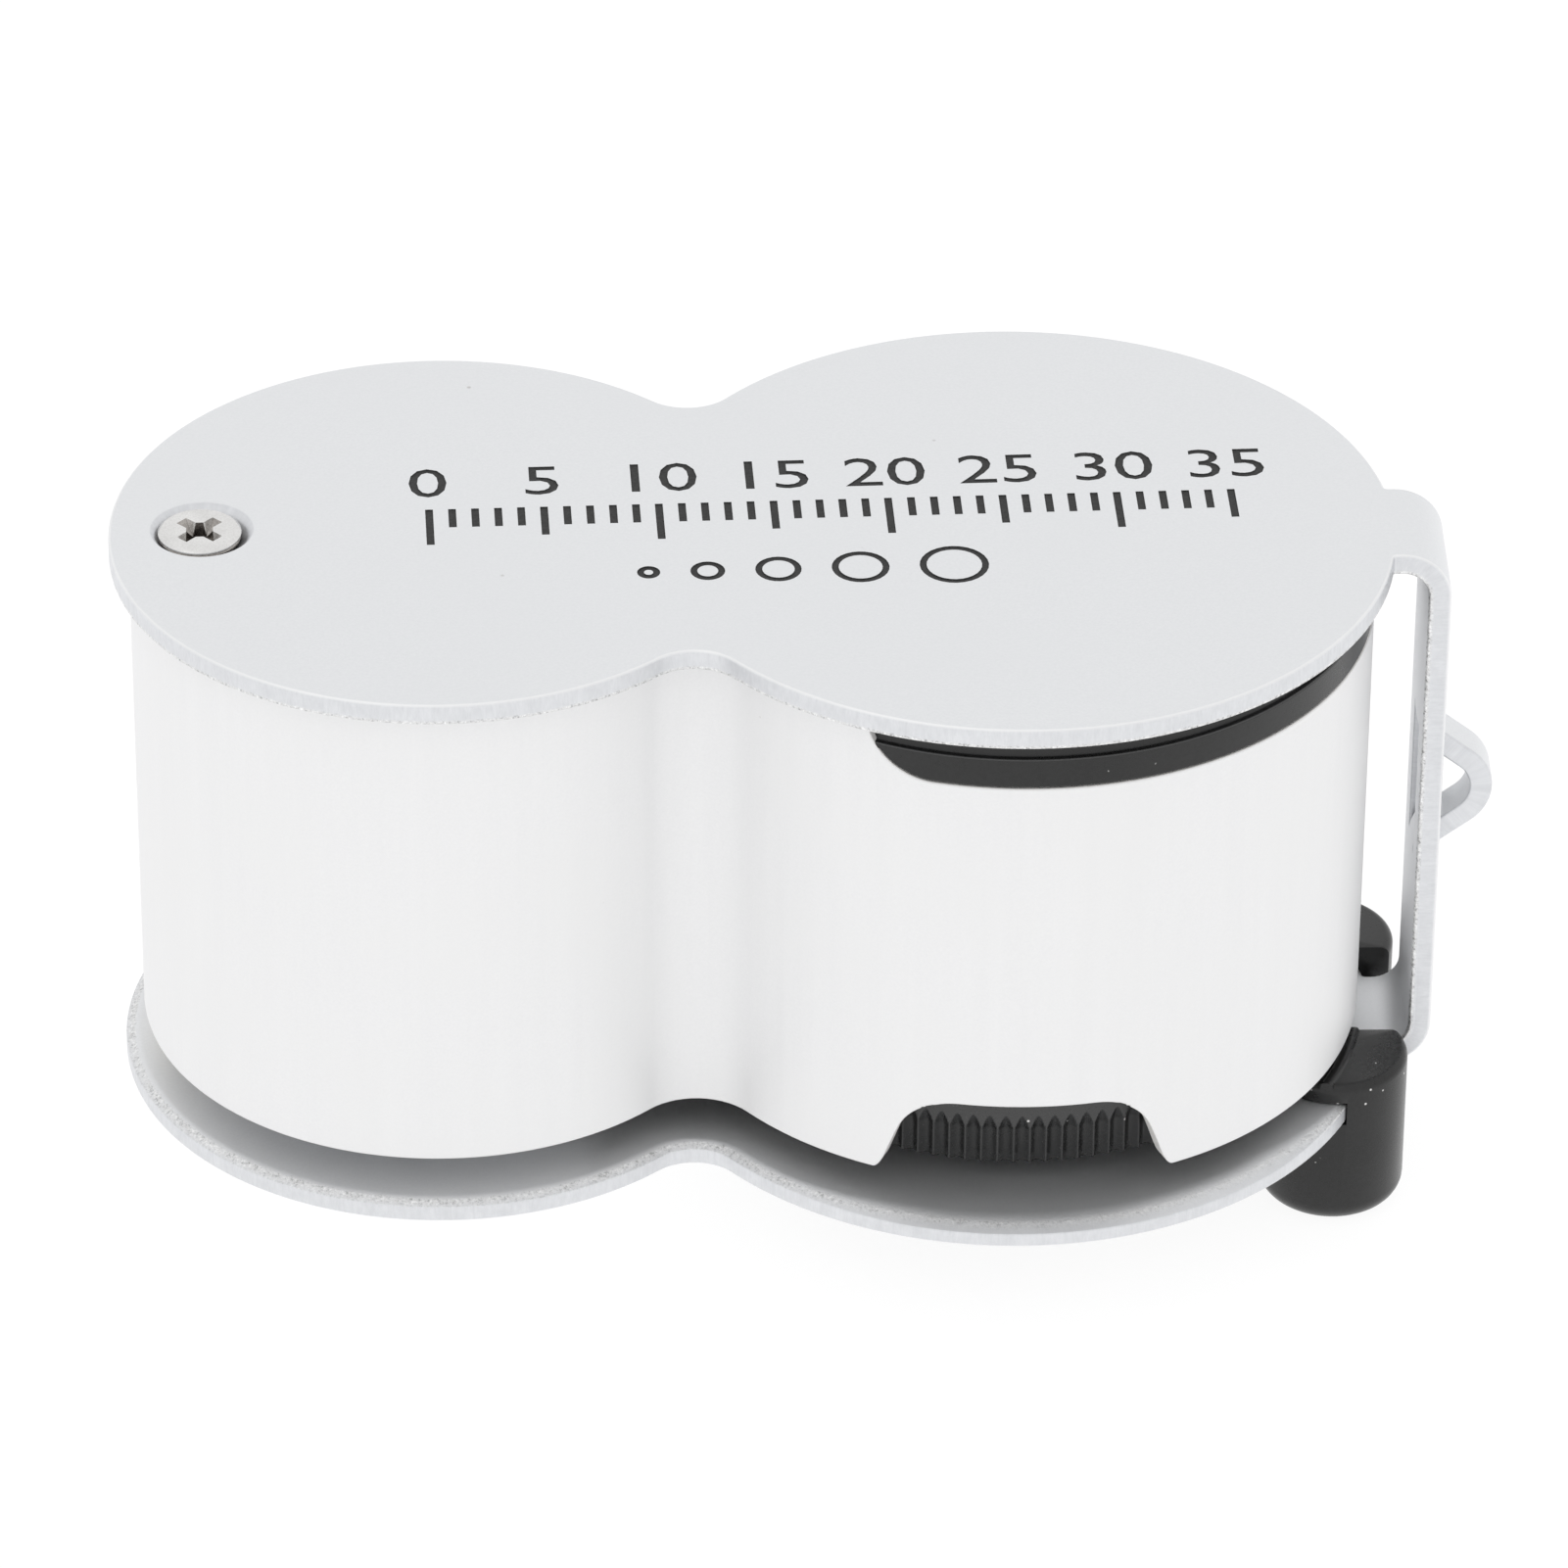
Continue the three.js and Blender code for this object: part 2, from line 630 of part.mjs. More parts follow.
function scaleBase() {
  const r = SCALE_RING;
  let base = turned([
    [r.inner, r.top],
    [r.inner, r.ledge],
    [r.seat, r.ledge],
    [r.seat, r.bottom],
    [r.outer, r.bottom],
    [r.outer, r.top],
    [r.inner, r.top],
  ]);
  const web = box(9, LUG.x, -LUG.y, LUG.y, r.bottom, r.top).subtract(drum(r.seat + 0.4, r.bottom - 1, 0));
  base = base.add(web);
  for (const side of [-1, 1]) {
    const y = side * LUG.y + LUG.offset;
    const lip = ring(LUG_LIP.inner, LUG_LIP.outer, LUG.top - 0.3, LUG_LIP.top)
      .intersect(drum(LUG.radius - 0.05, 0, 4, LUG.x, y));
    const peg = turned([
      [0, -FOOT_DROP],
      [LUG.radius - LUG.chamfer, -FOOT_DROP],
      [LUG.radius, LUG.chamfer - FOOT_DROP],
      [LUG.radius, LUG.top],
      [0, LUG.top],
    ], LUG.x, y);
    const stripGap = box(0, 30, LUG.offset - STRIP_CLEAR, LUG.offset + STRIP_CLEAR, r.top, 4);
    base = base.add(peg.subtract(drum(LUG.mouth, SHEET, 4)).add(lip).subtract(stripGap));
  }
  const plateSlot = prism(figureEight(PLATE, SLOT_GAP), -SLOT_GAP, SHEET + SLOT_GAP);
  return base.subtract(plateSlot);
}

function reticleDisc() {
  return drum(SCALE_RING.seat - 0.08, -2.1, SCALE_RING.ledge - 0.05, 0, 0, 36);
}

function reticleRing() {
  return ring(9.5, SCALE_RING.seat - 0.08, SCALE_RING.bottom + 0.05, -2.15, 0, 0, 36);
}

// ---------------------------------------------------------------- assembly

const assembly = new THREE.Group();
assembly.position.set(-MIDDLE_X, 0, FOOT_DROP);

const lensBody = new THREE.Group();
lensBody.position.x = BODY_X;
assembly.add(lensBody);

function place(group, name, body, finish) {
  const mesh = new THREE.Mesh(geometryOf(body), new THREE.MeshStandardMaterial(FINISH[finish]));
  mesh.name = name;
  group.add(mesh);
}

place(assembly, "cover_frame", coverFrame(), "anodised");
place(assembly, "pivot_screw_top", pivotScrew(HEIGHT, 1), "nickel");
place(assembly, "pivot_screw_bottom", pivotScrew(0, -1), "nickel");
place(assembly, "pivot_sleeve", pivotSleeve(), "brass");
place(assembly, "friction_washer", frictionWasher(), "nylon");
place(assembly, "spacer_bush", spacerBush(), "nylon");

place(lensBody, "body_shell", bodyShell(), "shell");
place(lensBody, "inner_core", innerCore(), "black");
place(lensBody, "top_cap", topCap(), "black");
CASE_SCREWS.forEach(([x, y], i) => {
  place(lensBody, `case_screw_${i + 1}`, caseScrew(x, y), "nickel");
});

place(lensBody, "focus_ring", focusRing(), "black");
place(lensBody, "lens_cell", lensCell(), "black");
place(lensBody, "field_lens", lens(9.05, 2.2, 1.2, 1.4), "glass");
place(lensBody, "lens_spacer", ring(10.2, LENS_RADIUS, 11.3, 13.9, 0, 0, 36), "black");
place(lensBody, "eye_lens", lens(13.95, 4.2, 0, 1.9), "glass");
place(lensBody, "retaining_ring", retainingRing(), "black");

place(lensBody, "battery_lid", batteryLid(), "black");
for (let i = 0; i < CELL.count; i += 1) {
  place(lensBody, `button_cell_${i + 1}`, buttonCell(i), "steel");
}
place(lensBody, "contact_plate", contactPlate(), "brass");
place(lensBody, "contact_spring", contactSpring(), "nickel");
place(lensBody, "led_board", ledBoard(), "board");
place(lensBody, "led_front", led(-1), "glass");
place(lensBody, "led_back", led(1), "glass");
place(lensBody, "light_switch", lightSwitch(), "black");
place(lensBody, "switch_contact", switchContact(), "brass");

place(assembly, "scale_base", scaleBase(), "black");
place(assembly, "reticle_disc", reticleDisc(), "glass");
place(assembly, "reticle_ring", reticleRing(), "black");

const loupe = new THREE.Group();
loupe.add(assembly);

export default loupe;
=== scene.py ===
from math import atan2, cos, hypot, pi, radians, sin, sqrt, tan

import bmesh
import bpy
import numpy as np
from mathutils import Matrix, Vector
from mathutils.geometry import delaunay_2d_cdt


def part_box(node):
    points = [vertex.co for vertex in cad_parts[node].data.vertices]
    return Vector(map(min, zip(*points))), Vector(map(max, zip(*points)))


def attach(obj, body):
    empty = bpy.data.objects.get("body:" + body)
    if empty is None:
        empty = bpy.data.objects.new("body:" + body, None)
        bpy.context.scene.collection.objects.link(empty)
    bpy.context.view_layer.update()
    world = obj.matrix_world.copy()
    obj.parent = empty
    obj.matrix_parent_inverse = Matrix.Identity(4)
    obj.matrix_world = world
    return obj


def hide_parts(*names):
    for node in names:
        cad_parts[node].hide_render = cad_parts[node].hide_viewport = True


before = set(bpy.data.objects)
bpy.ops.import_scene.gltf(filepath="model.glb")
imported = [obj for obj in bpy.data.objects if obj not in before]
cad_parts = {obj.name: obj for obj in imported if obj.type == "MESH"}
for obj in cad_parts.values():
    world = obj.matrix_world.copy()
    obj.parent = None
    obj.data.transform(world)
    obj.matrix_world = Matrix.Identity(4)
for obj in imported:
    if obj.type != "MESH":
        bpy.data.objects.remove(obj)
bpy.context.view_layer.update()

# Shapes are drawn in millimetres from the cover's large-lobe centre, at the bottom plate's underside.
MM = 0.001
TAU = 2 * pi
QUARTER = pi / 2
COVER_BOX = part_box("cover_frame")
RING_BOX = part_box("focus_ring")
SLEEVE_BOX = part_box("pivot_sleeve")
LOOP_REACH = 21.25
ORIGIN = Vector((COVER_BOX[1][0] - LOOP_REACH * MM, 0.0, COVER_BOX[0][2]))
HEIGHT = (COVER_BOX[1][2] - COVER_BOX[0][2]) / MM
BODY_X = ((RING_BOX[0][0] + RING_BOX[1][0]) / 2 - ORIGIN.x) / MM
PIVOT_X = ((SLEEVE_BOX[0][0] + SLEEVE_BOX[1][0]) / 2 - ORIGIN.x) / MM

# The bent sheet of the cover and its lanyard loop
SHEET = 1.0
PLATE = {"large": 16.5, "small": 14.25, "centres": 25.1, "fillet": 2.2}
STRIP_HALF = 2.8
STRIP_REACH = 18.85
BEND_RADIUS = 2.2
ROOT_FILLET = 0.15
LOOP_HALF_WIDTH = 0.95
SLIT_WIDTH = 0.2
LOOP_HEIGHT = 13.6
LOOP_BULGE = 2.4
LOOP_FLARE = 1.2
LOOP_TIP = 1.8
LOOP_ANGLE = radians(52)
LOOP_STEPS = 24
ENGRAVING = 0.05
Y_AXIS = Vector((0, 1, 0))

# The lens body, from the large lobe's centre; a notch slopes from its foot to its top
SHELL = {"large": 15.55, "small": 13.35, "centres": 25.3, "fillet": 2.9}
SHELL_BOTTOM = 2.7
SHELL_TOP = 25.45
SHELL_WALL = 1.0
SHELL_BEVEL = 0.1
RIM_CUT = {"x": -7.1, "z": 23.2, "radius": 2.9}
NOTCH = {"foot": 6.32, "top": 4.95, "height": 6.75, "radius": 2.7}
CAP_TOP = 25.4
CAP_STEP_Z = 24.65
CAP_BOTTOM = 23.2
BATTERY_X = -25.0
LENS_RADIUS = 10.98
FLOOR_END = -18.5
BUSH_GAP = 2.1
CASE_SCREWS = ((9.4, 9.4), (9.4, -9.4), (-29.3, 8.6), (-29.3, -8.6))

# The scale base's two lugs, which grip the bottom plate's edge
LUG = {"x": 14.5, "y": 4.5, "radius": 3.25, "top": 1.95, "foot": -5.6, "offset": 0.38}
LUG_GAP = (LUG["offset"] - 3.25, LUG["offset"] + 3.25)

# For all meshes: the smallest length and turn that count, the distance at which vertices are joined (in
# metres), the share of a side that a round corner may take, how much sooner than at its middle a round
# corner gets the full edge mark for its painted highlight, and the angles from which an edge is bevelled or
# shaded as a real corner
TINY = 1e-6
LEAST_TURN = 1e-4
SAME_PLACE = 1e-8
SIDE_SHARE = 0.48
EDGE_HIGHLIGHT_GAIN = 1.6
BEVEL_ANGLE = radians(38)
SHARP_ANGLE = radians(32)
MARK_FIELDS = ("edge", "along", "across")


# ---------------------------------------------------------------- shapes

class Shape:
    """Vertices with their normals, a mark for round edges, which the looks paint lighter as a painted
    highlight, and the places along and across an edge.
    """

    def __init__(self):
        self.points, self.normals = [], []
        self.edge, self.along, self.across = [], [], []
        self.faces, self.slots = [], []

    def point(self, p, n, edge=0.0, along=0.0, across=0.0):
        self.points.append(tuple(p))
        self.normals.append(tuple(n))
        self.edge.append(edge)
        self.along.append(along)
        self.across.append(across)
        return len(self.points) - 1

    def face(self, *corners, slot=0):
        """A face without the corners that are there twice, or none if it has no area."""
        kept = list(dict.fromkeys(corners))
        if len(kept) > 2:
            self.faces.append(kept)
            self.slots.append(slot)

    def ring(self, r, z, out, up, segments, centre=(0.0, 0.0), mark=0.0, span=0.0):
        """A row of vertices round the vertical axis at centre; span is the length that along takes."""
        row = []
        for i in range(segments):
            c, s = cos(TAU * i / segments), sin(TAU * i / segments)
            place = (centre[0] + r * c, centre[1] + r * s, z)
            row.append(self.point(place, (out * c, out * s, up), mark, span * i / segments))
        return row

    def rows(self, rows, closed=False, slot=0):
        """Quads between neighbouring rows of vertices, each row a loop."""
        pairs = list(zip(rows, rows[1:]))
        if closed:
            pairs.append((rows[-1], rows[0]))
        for low, high in pairs:
            for i in range(len(low)):
                j = (i + 1) % len(low)
                self.face(low[i], low[j], high[j], high[i], slot=slot)

    def add(self, other):
        base = len(self.points)
        self.faces += [[base + i for i in f] for f in other.faces]
        for name in ("points", "normals", "slots", *MARK_FIELDS):
            getattr(self, name).extend(getattr(other, name))
        return self


def added(name, data):
    obj = bpy.data.objects.new(name, data)
    bpy.context.scene.collection.objects.link(obj)
    return obj


def mesh_of(name, shape, dx, merge=False):
    """A shape moved by dx along X as a mesh in the frame's metres, its faces looking outwards."""
    mesh = bpy.data.meshes.new(name)
    mesh.from_pydata([ORIGIN + MM * Vector((p[0] + dx, p[1], p[2])) for p in shape.points], [], shape.faces)
    for polygon, index in zip(mesh.polygons, shape.slots):
        polygon.material_index = index
    bm = bmesh.new()
    bm.from_mesh(mesh)
    if merge:
        bmesh.ops.remove_doubles(bm, verts=bm.verts, dist=SAME_PLACE)
    bmesh.ops.recalc_face_normals(bm, faces=bm.faces)
    bm.to_mesh(mesh)
    bm.free()
    return mesh


def settle(obj, body, materials, slot, *stands_for):
    """A finished piece's looks, body and the CAD nodes that it stands for; slot is not used."""
    for material in materials:
        obj.data.materials.append(material)
    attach(obj, body)
    if stands_for:
        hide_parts(*stands_for)


def piece(name, shape, body, materials, slot, *stands_for, dx=BODY_X):
    """A shape as a piece, smooth by its own normals; dx is the lens body's place unless given."""
    mesh = mesh_of(name, shape, dx)
    for field in MARK_FIELDS:
        attribute = mesh.attributes.new(field, "FLOAT", "POINT")
        attribute.data.foreach_set("value", getattr(shape, field))
    mesh.shade_smooth()
    mesh.normals_split_custom_set_from_vertices([Vector(n).normalized() for n in shape.normals])
    settle(added(name, mesh), body, materials, slot, *stands_for)


def evaluated(obj):
    return bpy.data.meshes.new_from_object(obj.evaluated_get(bpy.context.evaluated_depsgraph_get()))


def applied(obj):
    """Bakes an object's modifiers into its mesh."""
    mesh = evaluated(obj)
    obj.modifiers.clear()
    obj.data = mesh


def rounded(corners, closed=True, radius=0.06, steps=3):
    """Corners (x, y) or (x, y, radius) as [point, outward normal, edge mark] with round corners."""
    area = sum(a[0] * b[1] - b[0] * a[1] for a, b in zip(corners, corners[1:] + corners[:1]))
    side = 1 if area > 0 else -1
    out = []
    count = len(corners)
    for i, corner in enumerate(corners):
        here = Vector(corner[:2])
        r = corner[2] if len(corner) > 2 else radius
        if not closed and i in (0, count - 1):
            other = Vector(corners[1 if i == 0 else count - 2][:2])
            d = (other - here if i == 0 else here - other).normalized()
            out.append((here, Vector((d.y, -d.x)) * side, 0.0))
            continue
        before = here - Vector(corners[i - 1][:2])
        after = Vector(corners[(i + 1) % count][:2]) - here
        d0, d1 = before.normalized(), after.normalized()
        turn = atan2(d0.x * d1.y - d0.y * d1.x, d0.dot(d1))
        n0 = Vector((d0.y, -d0.x)) * side
        if abs(turn) < LEAST_TURN:
            out.append((here, n0, 0.0))
            continue
        half_turn = tan(abs(turn) / 2)
        reach = min(r * half_turn, SIDE_SHARE * before.length, SIDE_SHARE * after.length)
        r = reach / half_turn
        bulge = 1 if turn * side > 0 else -1
        centre = here - d0 * reach - n0 * r * bulge
        for k in range(steps + 1):
            a = turn * k / steps
            n = Vector((n0.x * cos(a) - n0.y * sin(a), n0.x * sin(a) + n0.y * cos(a)))
            # Convex corners get the edge mark, which the looks paint lighter: a painted highlight.
            middle = 1 - abs(2 * k / steps - 1) if steps > 2 else 1.0
            out.append((centre + n * r * bulge, n, min(1.0, EDGE_HIGHLIGHT_GAIN * middle) if bulge > 0 else 0.0))
    return out


def turned(profile, centre=(0.0, 0.0), segments=96, closed=True):
    """A profile of [point, normal, edge mark] turned about the vertical axis at centre."""
    shape = Shape()
    rows = []
    for p, n, mark in profile:
        if p.x < TINY:
            rows.append([shape.point((*centre, p.y), (0, 0, n.y or 1), mark)] * segments)
        else:
            rows.append(shape.ring(p.x, p.y, n.x, n.y, segments, centre, mark, p.x * TAU))
    shape.rows(rows, closed)
    return shape


def lathe(corners, centre=(0.0, 0.0), segments=96, closed=True, radius=0.06, steps=3):
    """Corners (radius, height) or (radius, height, rounding) turned about the vertical axis at centre."""
    return turned(rounded(corners, closed, radius, steps), centre, segments, closed)


def band(inner, outer, z0, z1, **how):
    """A turned solid of rectangular section."""
    return lathe([(inner, z0), (outer, z0), (outer, z1), (inner, z1)], **how)


def arc(x, y, radius, start, end, steps, side=1):
    """Points on an arc with their normals, away from its centre for side 1 and towards it for -1."""
    out = []
    for i in range(steps + 1):
        a = start + (end - start) * i / steps
        n = Vector((cos(a), sin(a)))
        out.append((Vector((x, y)) + n * radius, n * side))
    return out


def circle(x, y, radius, steps):
    """A round hole's outline, whose normals point into the hole."""
    return [(p, n) for p, n in arc(x, y, radius, 0, -TAU, steps, -1)[:-1]]


def waist(size):
    """The centre of the fillet between the lobes, and where it meets each of them as an angle."""
    large, small, d, fillet = size["large"], size["small"], size["centres"], size["fillet"]
    x = -(d * d + (large + fillet) ** 2 - (small + fillet) ** 2) / (2 * d)
    y = sqrt((large + fillet) ** 2 - x ** 2)
    return x, y, atan2(y, x), atan2(y, x + d)


def grown(size, grow):
    return {
        "large": size["large"] + grow,
        "small": size["small"] + grow,
        "centres": size["centres"],
        "fillet": size["fillet"] - grow,
    }


def both_halves(upper):
    """An upper half outline followed by its mirror image."""
    lower = [(Vector((p.x, -p.y)), Vector((n.x, -n.y))) for p, n in reversed(upper)]
    return upper + lower[1:]


def half_outline(size, start, fine=1.0):
    """Upper half of the figure-eight outline, from the angle start on the large lobe to its far end."""
    x, y, large_end, small_end = waist(size)
    steps = int(96 * fine)
    return (
        arc(0, 0, size["large"], start, large_end, steps)[:-1]
        + arc(x, y, size["fillet"], large_end - pi, small_end - pi, 14, -1)[:-1]
        + arc(-size["centres"], 0, size["small"], small_end, pi, steps)
    )


def figure_eight(size, fine=1.0):
    """The outline from the large lobe's far point, round the small lobe and back."""
    return both_halves(half_outline(size, 0.0, fine))[:-1]


def edge_wall(top, bottom, over=0.1, under=0.1, steps=4):
    """A sheet's cut edge from top face to bottom face: inset, height and normal, rounded both ways."""
    rows = []
    for face, radius, way in ((top, over, 1), (bottom, under, -1)):
        for k in range(steps + 1)[::way]:
            c, s = cos(QUARTER * k / steps), sin(QUARTER * k / steps)
            rows.append((radius * (1 - s), face - way * radius * (1 - c), s, way * c))
    return rows


def flat_place(u, v, w):
    """A place with its two directions in the sheet and the one out of it."""
    return Vector((u, v, w)), Vector((1, 0, 0)), Vector((0, 1, 0)), Vector((0, 0, 1))


def inside(points, loop):
    """Whether each point is inside the closed loop."""
    x, y = points[:, 0], points[:, 1]
    hit = np.zeros(len(points), bool)
    a = np.array([tuple(p) for p in loop])
    b = np.roll(a, -1, axis=0)
    for (x0, y0), (x1, y1) in zip(a, b):
        if y0 == y1:
            continue
        cross = (y0 > y) != (y1 > y)
        hit ^= cross & (x < (x1 - x0) * (y - y0) / (y1 - y0) + x0)
    return hit


def filled(loops, extra=()):
    """Triangles of the region between the loops and extra points; each knows the loops around it."""
    points, edges = [], []
    for loop in loops:
        base, n = len(points), len(loop)
        points += [Vector(p) for p in loop]
        edges += [(base + i, base + (i + 1) % n) for i in range(n)]
    points += [Vector(p) for p in extra]
    made = delaunay_2d_cdt(points, edges, [], 0, 1e-7)
    back = [ids[0] for ids in made[3]]
    triangles = [[back[i] for i in f] for f in made[2]]
    array = np.array([tuple(p) for p in points])
    middle = array[np.array(triangles)].mean(axis=1)
    return triangles, [inside(middle, loop) for loop in loops]


def slab(loops, place=flat_place, extra=(), carved=()):
    """A sheet: loops[0] is its outline and the others are holes, each with points and a wall.

    A wall is rows of (inset, height, outward normal, upward normal), or a function of the point
    that gives them. extra are points that its faces use. carved are loops sunk into its top face,
    with walls and floors in material slot 1.
    """
    shape = Shape()
    faces = {0: [], -1: []}
    first = {0: [], -1: []}
    for number, (points, wall) in enumerate(loops):
        lengths = [0.0]
        for (a, _), (b, _) in zip(points, points[1:]):
            lengths.append(lengths[-1] + (b - a).length)
        rows = []
        walls = [wall(p) if callable(wall) else wall for p, _ in points]
        for k in range(len(walls[0])):
            row = []
            flat = []
            for (p, n), s, here in zip(points, lengths, walls):
                inset, w, out, up = here[k]
                q = p - n * inset
                pos, t, b, up_axis = place(q.x, q.y, w)
                normal = t * (n.x * out) + b * (n.y * out) + up_axis * up
                across = 0.5 if number else (here[0][1] - w) / (here[0][1] - here[-1][1])
                # The wall's outward share is the edge mark: on the sheet its bare cut edge, on other pieces a
                # painted highlight.
                row.append(shape.point(pos, normal, min(1.0, out * 1.5), s, across))
                flat.append(q)
            rows.append((row, flat))
        shape.rows([r for r, _ in rows])
        for end in (0, -1):
            faces[end].append(rows[end][1])
            first[end] += rows[end][0]
    for end in (0, -1):
        w = walls[0][end][1]
        marks = list(carved) if end == 0 else []
        ids = list(first[end])
        floor = {}
        for loop in marks:
            top_row, low_row = [], []
            for p in loop:
                pos, _, _, up_axis = place(*p, w)
                floor[len(ids)] = shape.point(place(*p, w - ENGRAVING)[0], up_axis)
                low_row.append(floor[len(ids)])
                ids.append(shape.point(pos, up_axis))
                top_row.append(ids[-1])
            shape.rows([top_row, low_row], slot=1)
        for p in extra:
            pos, _, _, up_axis = place(*p, w)
            ids.append(shape.point(pos, up_axis if end == 0 else -up_axis, 0.0, 0.0, -end))
        triangles, within = filled(faces[end] + marks, extra)
        plain = len(faces[end])
        for k, triangle in enumerate(triangles):
            if not within[0][k] or any(hole[k] for hole in within[1:plain]):
                continue
            if sum(bool(mark[k]) for mark in within[plain:]) % 2:
                shape.face(*[floor[i] for i in triangle], slot=1)
            else:
                shape.face(*[ids[i] for i in triangle])
    return shape


def carve(obj, *cutters, how="DIFFERENCE"):
    """Cuts solids out of a piece, adds them to it or keeps what they hold of it."""
    for cutter in cutters:
        modifier = obj.modifiers.new("carve", "BOOLEAN")
        modifier.object = cutter
        modifier.solver = "EXACT"
        modifier.operation = how
    applied(obj)
    for cutter in cutters:
        bpy.data.objects.remove(cutter)


def raw(name, shape, dx=0.0):
    """A closed solid as an object, for carving."""
    return added(name, mesh_of(name, shape, dx, True))


def drum(radius, z0, z1, centre=(0.0, 0.0), segments=96, dx=0.0):
    """A plain round solid for carving."""
    return raw("drum", band(0.0, radius, z0, z1, centre=centre, segments=segments, closed=False), dx)


def block(x0, x1, y0, y1, z0, z1, taper=0.0):
    """A box whose lower end is narrower by taper on every side."""
    shape = Shape()
    rows = []
    for z, t in ((z0, taper), (z1, 0.0)):
        corners = ((x0 + t, y0 + t), (x1 - t, y0 + t), (x1 - t, y1 - t), (x0 + t, y1 - t))
        rows.append([shape.point((x, y, z), (0, 0, 1)) for x, y in corners])
    shape.rows(rows)
    shape.face(*rows[0])
    shape.face(*rows[1])
    return shape


def turned_about(shape, angle, x, y):
    c, s = cos(angle), sin(angle)
    away = [(px - x, py - y, z) for px, py, z in shape.points]
    shape.points = [(x + c * u - s * v, y + s * u + c * v, z) for u, v, z in away]
    return shape


def finished(obj, bevel=0.0):
    """Smooth shading that keeps real corners, after an optional small bevel on them."""
    if bevel:
        modifier = obj.modifiers.new("bevel", "BEVEL")
        modifier.width = bevel * MM
        modifier.segments = 2
        modifier.limit_method = "ANGLE"
        modifier.angle_limit = BEVEL_ANGLE
        modifier.use_clamp_overlap = True
        applied(obj)
    obj.data.shade_smooth()
    obj.data.set_sharp_from_angle(angle=SHARP_ANGLE)
    return obj


# ---------------------------------------------------------------- materials

SOCKETS = {
    "base": "Base Color",
    "emission": "Emission Color",
    "glow": "Emission Strength",
    "transmission": "Transmission Weight",
    "ior": "IOR",
    "coat": "Coat Weight",
    "specular": "Specular IOR Level",
}


class Look:
    """A material's node tree with short names for the nodes used here."""

    def __init__(self, name, **values):
        self.material = bpy.data.materials.new(name)
        self.material.use_nodes = True
        self.tree = self.material.node_tree
        self.shader = self.tree.nodes["Principled BSDF"]
        self.where = self.tree.nodes.new("ShaderNodeTexCoord").outputs["Object"]
        for key, value in values.items():
            self.input(key).default_value = value

    def input(self, key):
        return self.shader.inputs[SOCKETS.get(key, key.title())]

    def node(self, kind, sockets=(), **fields):
        made = self.tree.nodes.new(kind)
        for key, value in fields.items():
            setattr(made, key, value)
        for key, value in dict(sockets).items():
            made.inputs[key].default_value = value
        return made

    def link(self, a, b):
        self.tree.links.new(a, b)

    def noise(self, size, detail=2.0, stretch=None, rough=0.5, source=None, distortion=0.0):
        """Noise whose features are about size millimetres."""
        scale = 1 / (size * MM) if source is None else 1.0
        sockets = {"Scale": scale, "Detail": detail, "Roughness": rough, "Distortion": distortion}
        made = self.node("ShaderNodeTexNoise", sockets)
        where = source or self.where
        if stretch:
            mapping = self.node("ShaderNodeMapping", {"Scale": stretch})
            self.link(where, mapping.inputs["Vector"])
            where = mapping.outputs["Vector"]
        self.link(where, made.inputs["Vector"])
        return made.outputs["Fac"]

    def cells(self, size):
        """The distance to the nearest of scattered points about size millimetres apart."""
        made = self.node("ShaderNodeTexVoronoi", {"Scale": 1 / (size * MM)})
        self.link(self.where, made.inputs["Vector"])
        return made.outputs["Distance"]

    def ramp(self, source, stops):
        made = self.node("ShaderNodeValToRGB")
        elements = made.color_ramp.elements
        while len(elements) < len(stops):
            elements.new(0.5)
        for element, (position, value) in zip(elements, stops):
            element.position = position
            element.color = (*value, 1) if isinstance(value, tuple) else (value, value, value, 1)
        self.link(source, made.inputs["Fac"])
        return made.outputs["Color"]

    def between(self, source, low, high):
        return self.ramp(source, ((0.3, low), (0.7, high)))

    def mix(self, factor, a, b):
        made = self.node("ShaderNodeMix", data_type="RGBA")
        for socket, value in ((made.inputs[0], factor), (made.inputs[6], a), (made.inputs[7], b)):
            if isinstance(value, bpy.types.NodeSocket):
                self.link(value, socket)
            elif isinstance(value, tuple):
                socket.default_value = (*value, 1)
            else:
                socket.default_value = value if socket == made.inputs[0] else (value, value, value, 1)
        return made.outputs[2]

    def math(self, operation, a, b):
        made = self.node("ShaderNodeMath", operation=operation)
        for socket, value in zip(made.inputs, (a, b)):
            if isinstance(value, bpy.types.NodeSocket):
                self.link(value, socket)
            else:
                socket.default_value = value
        return made.outputs[0]

    def field(self, name):
        return self.node("ShaderNodeAttribute", attribute_name=name).outputs["Fac"]

    def bump(self, height, distance, strength=1.0, below=None):
        made = self.node("ShaderNodeBump", {"Distance": distance * MM, "Strength": strength})
        self.link(height, made.inputs["Height"])
        if below is not None:
            self.link(below, made.inputs["Normal"])
        return made.outputs["Normal"]

    def set(self, **sources):
        for key, source in sources.items():
            self.link(source, self.input(key))
        return self.material


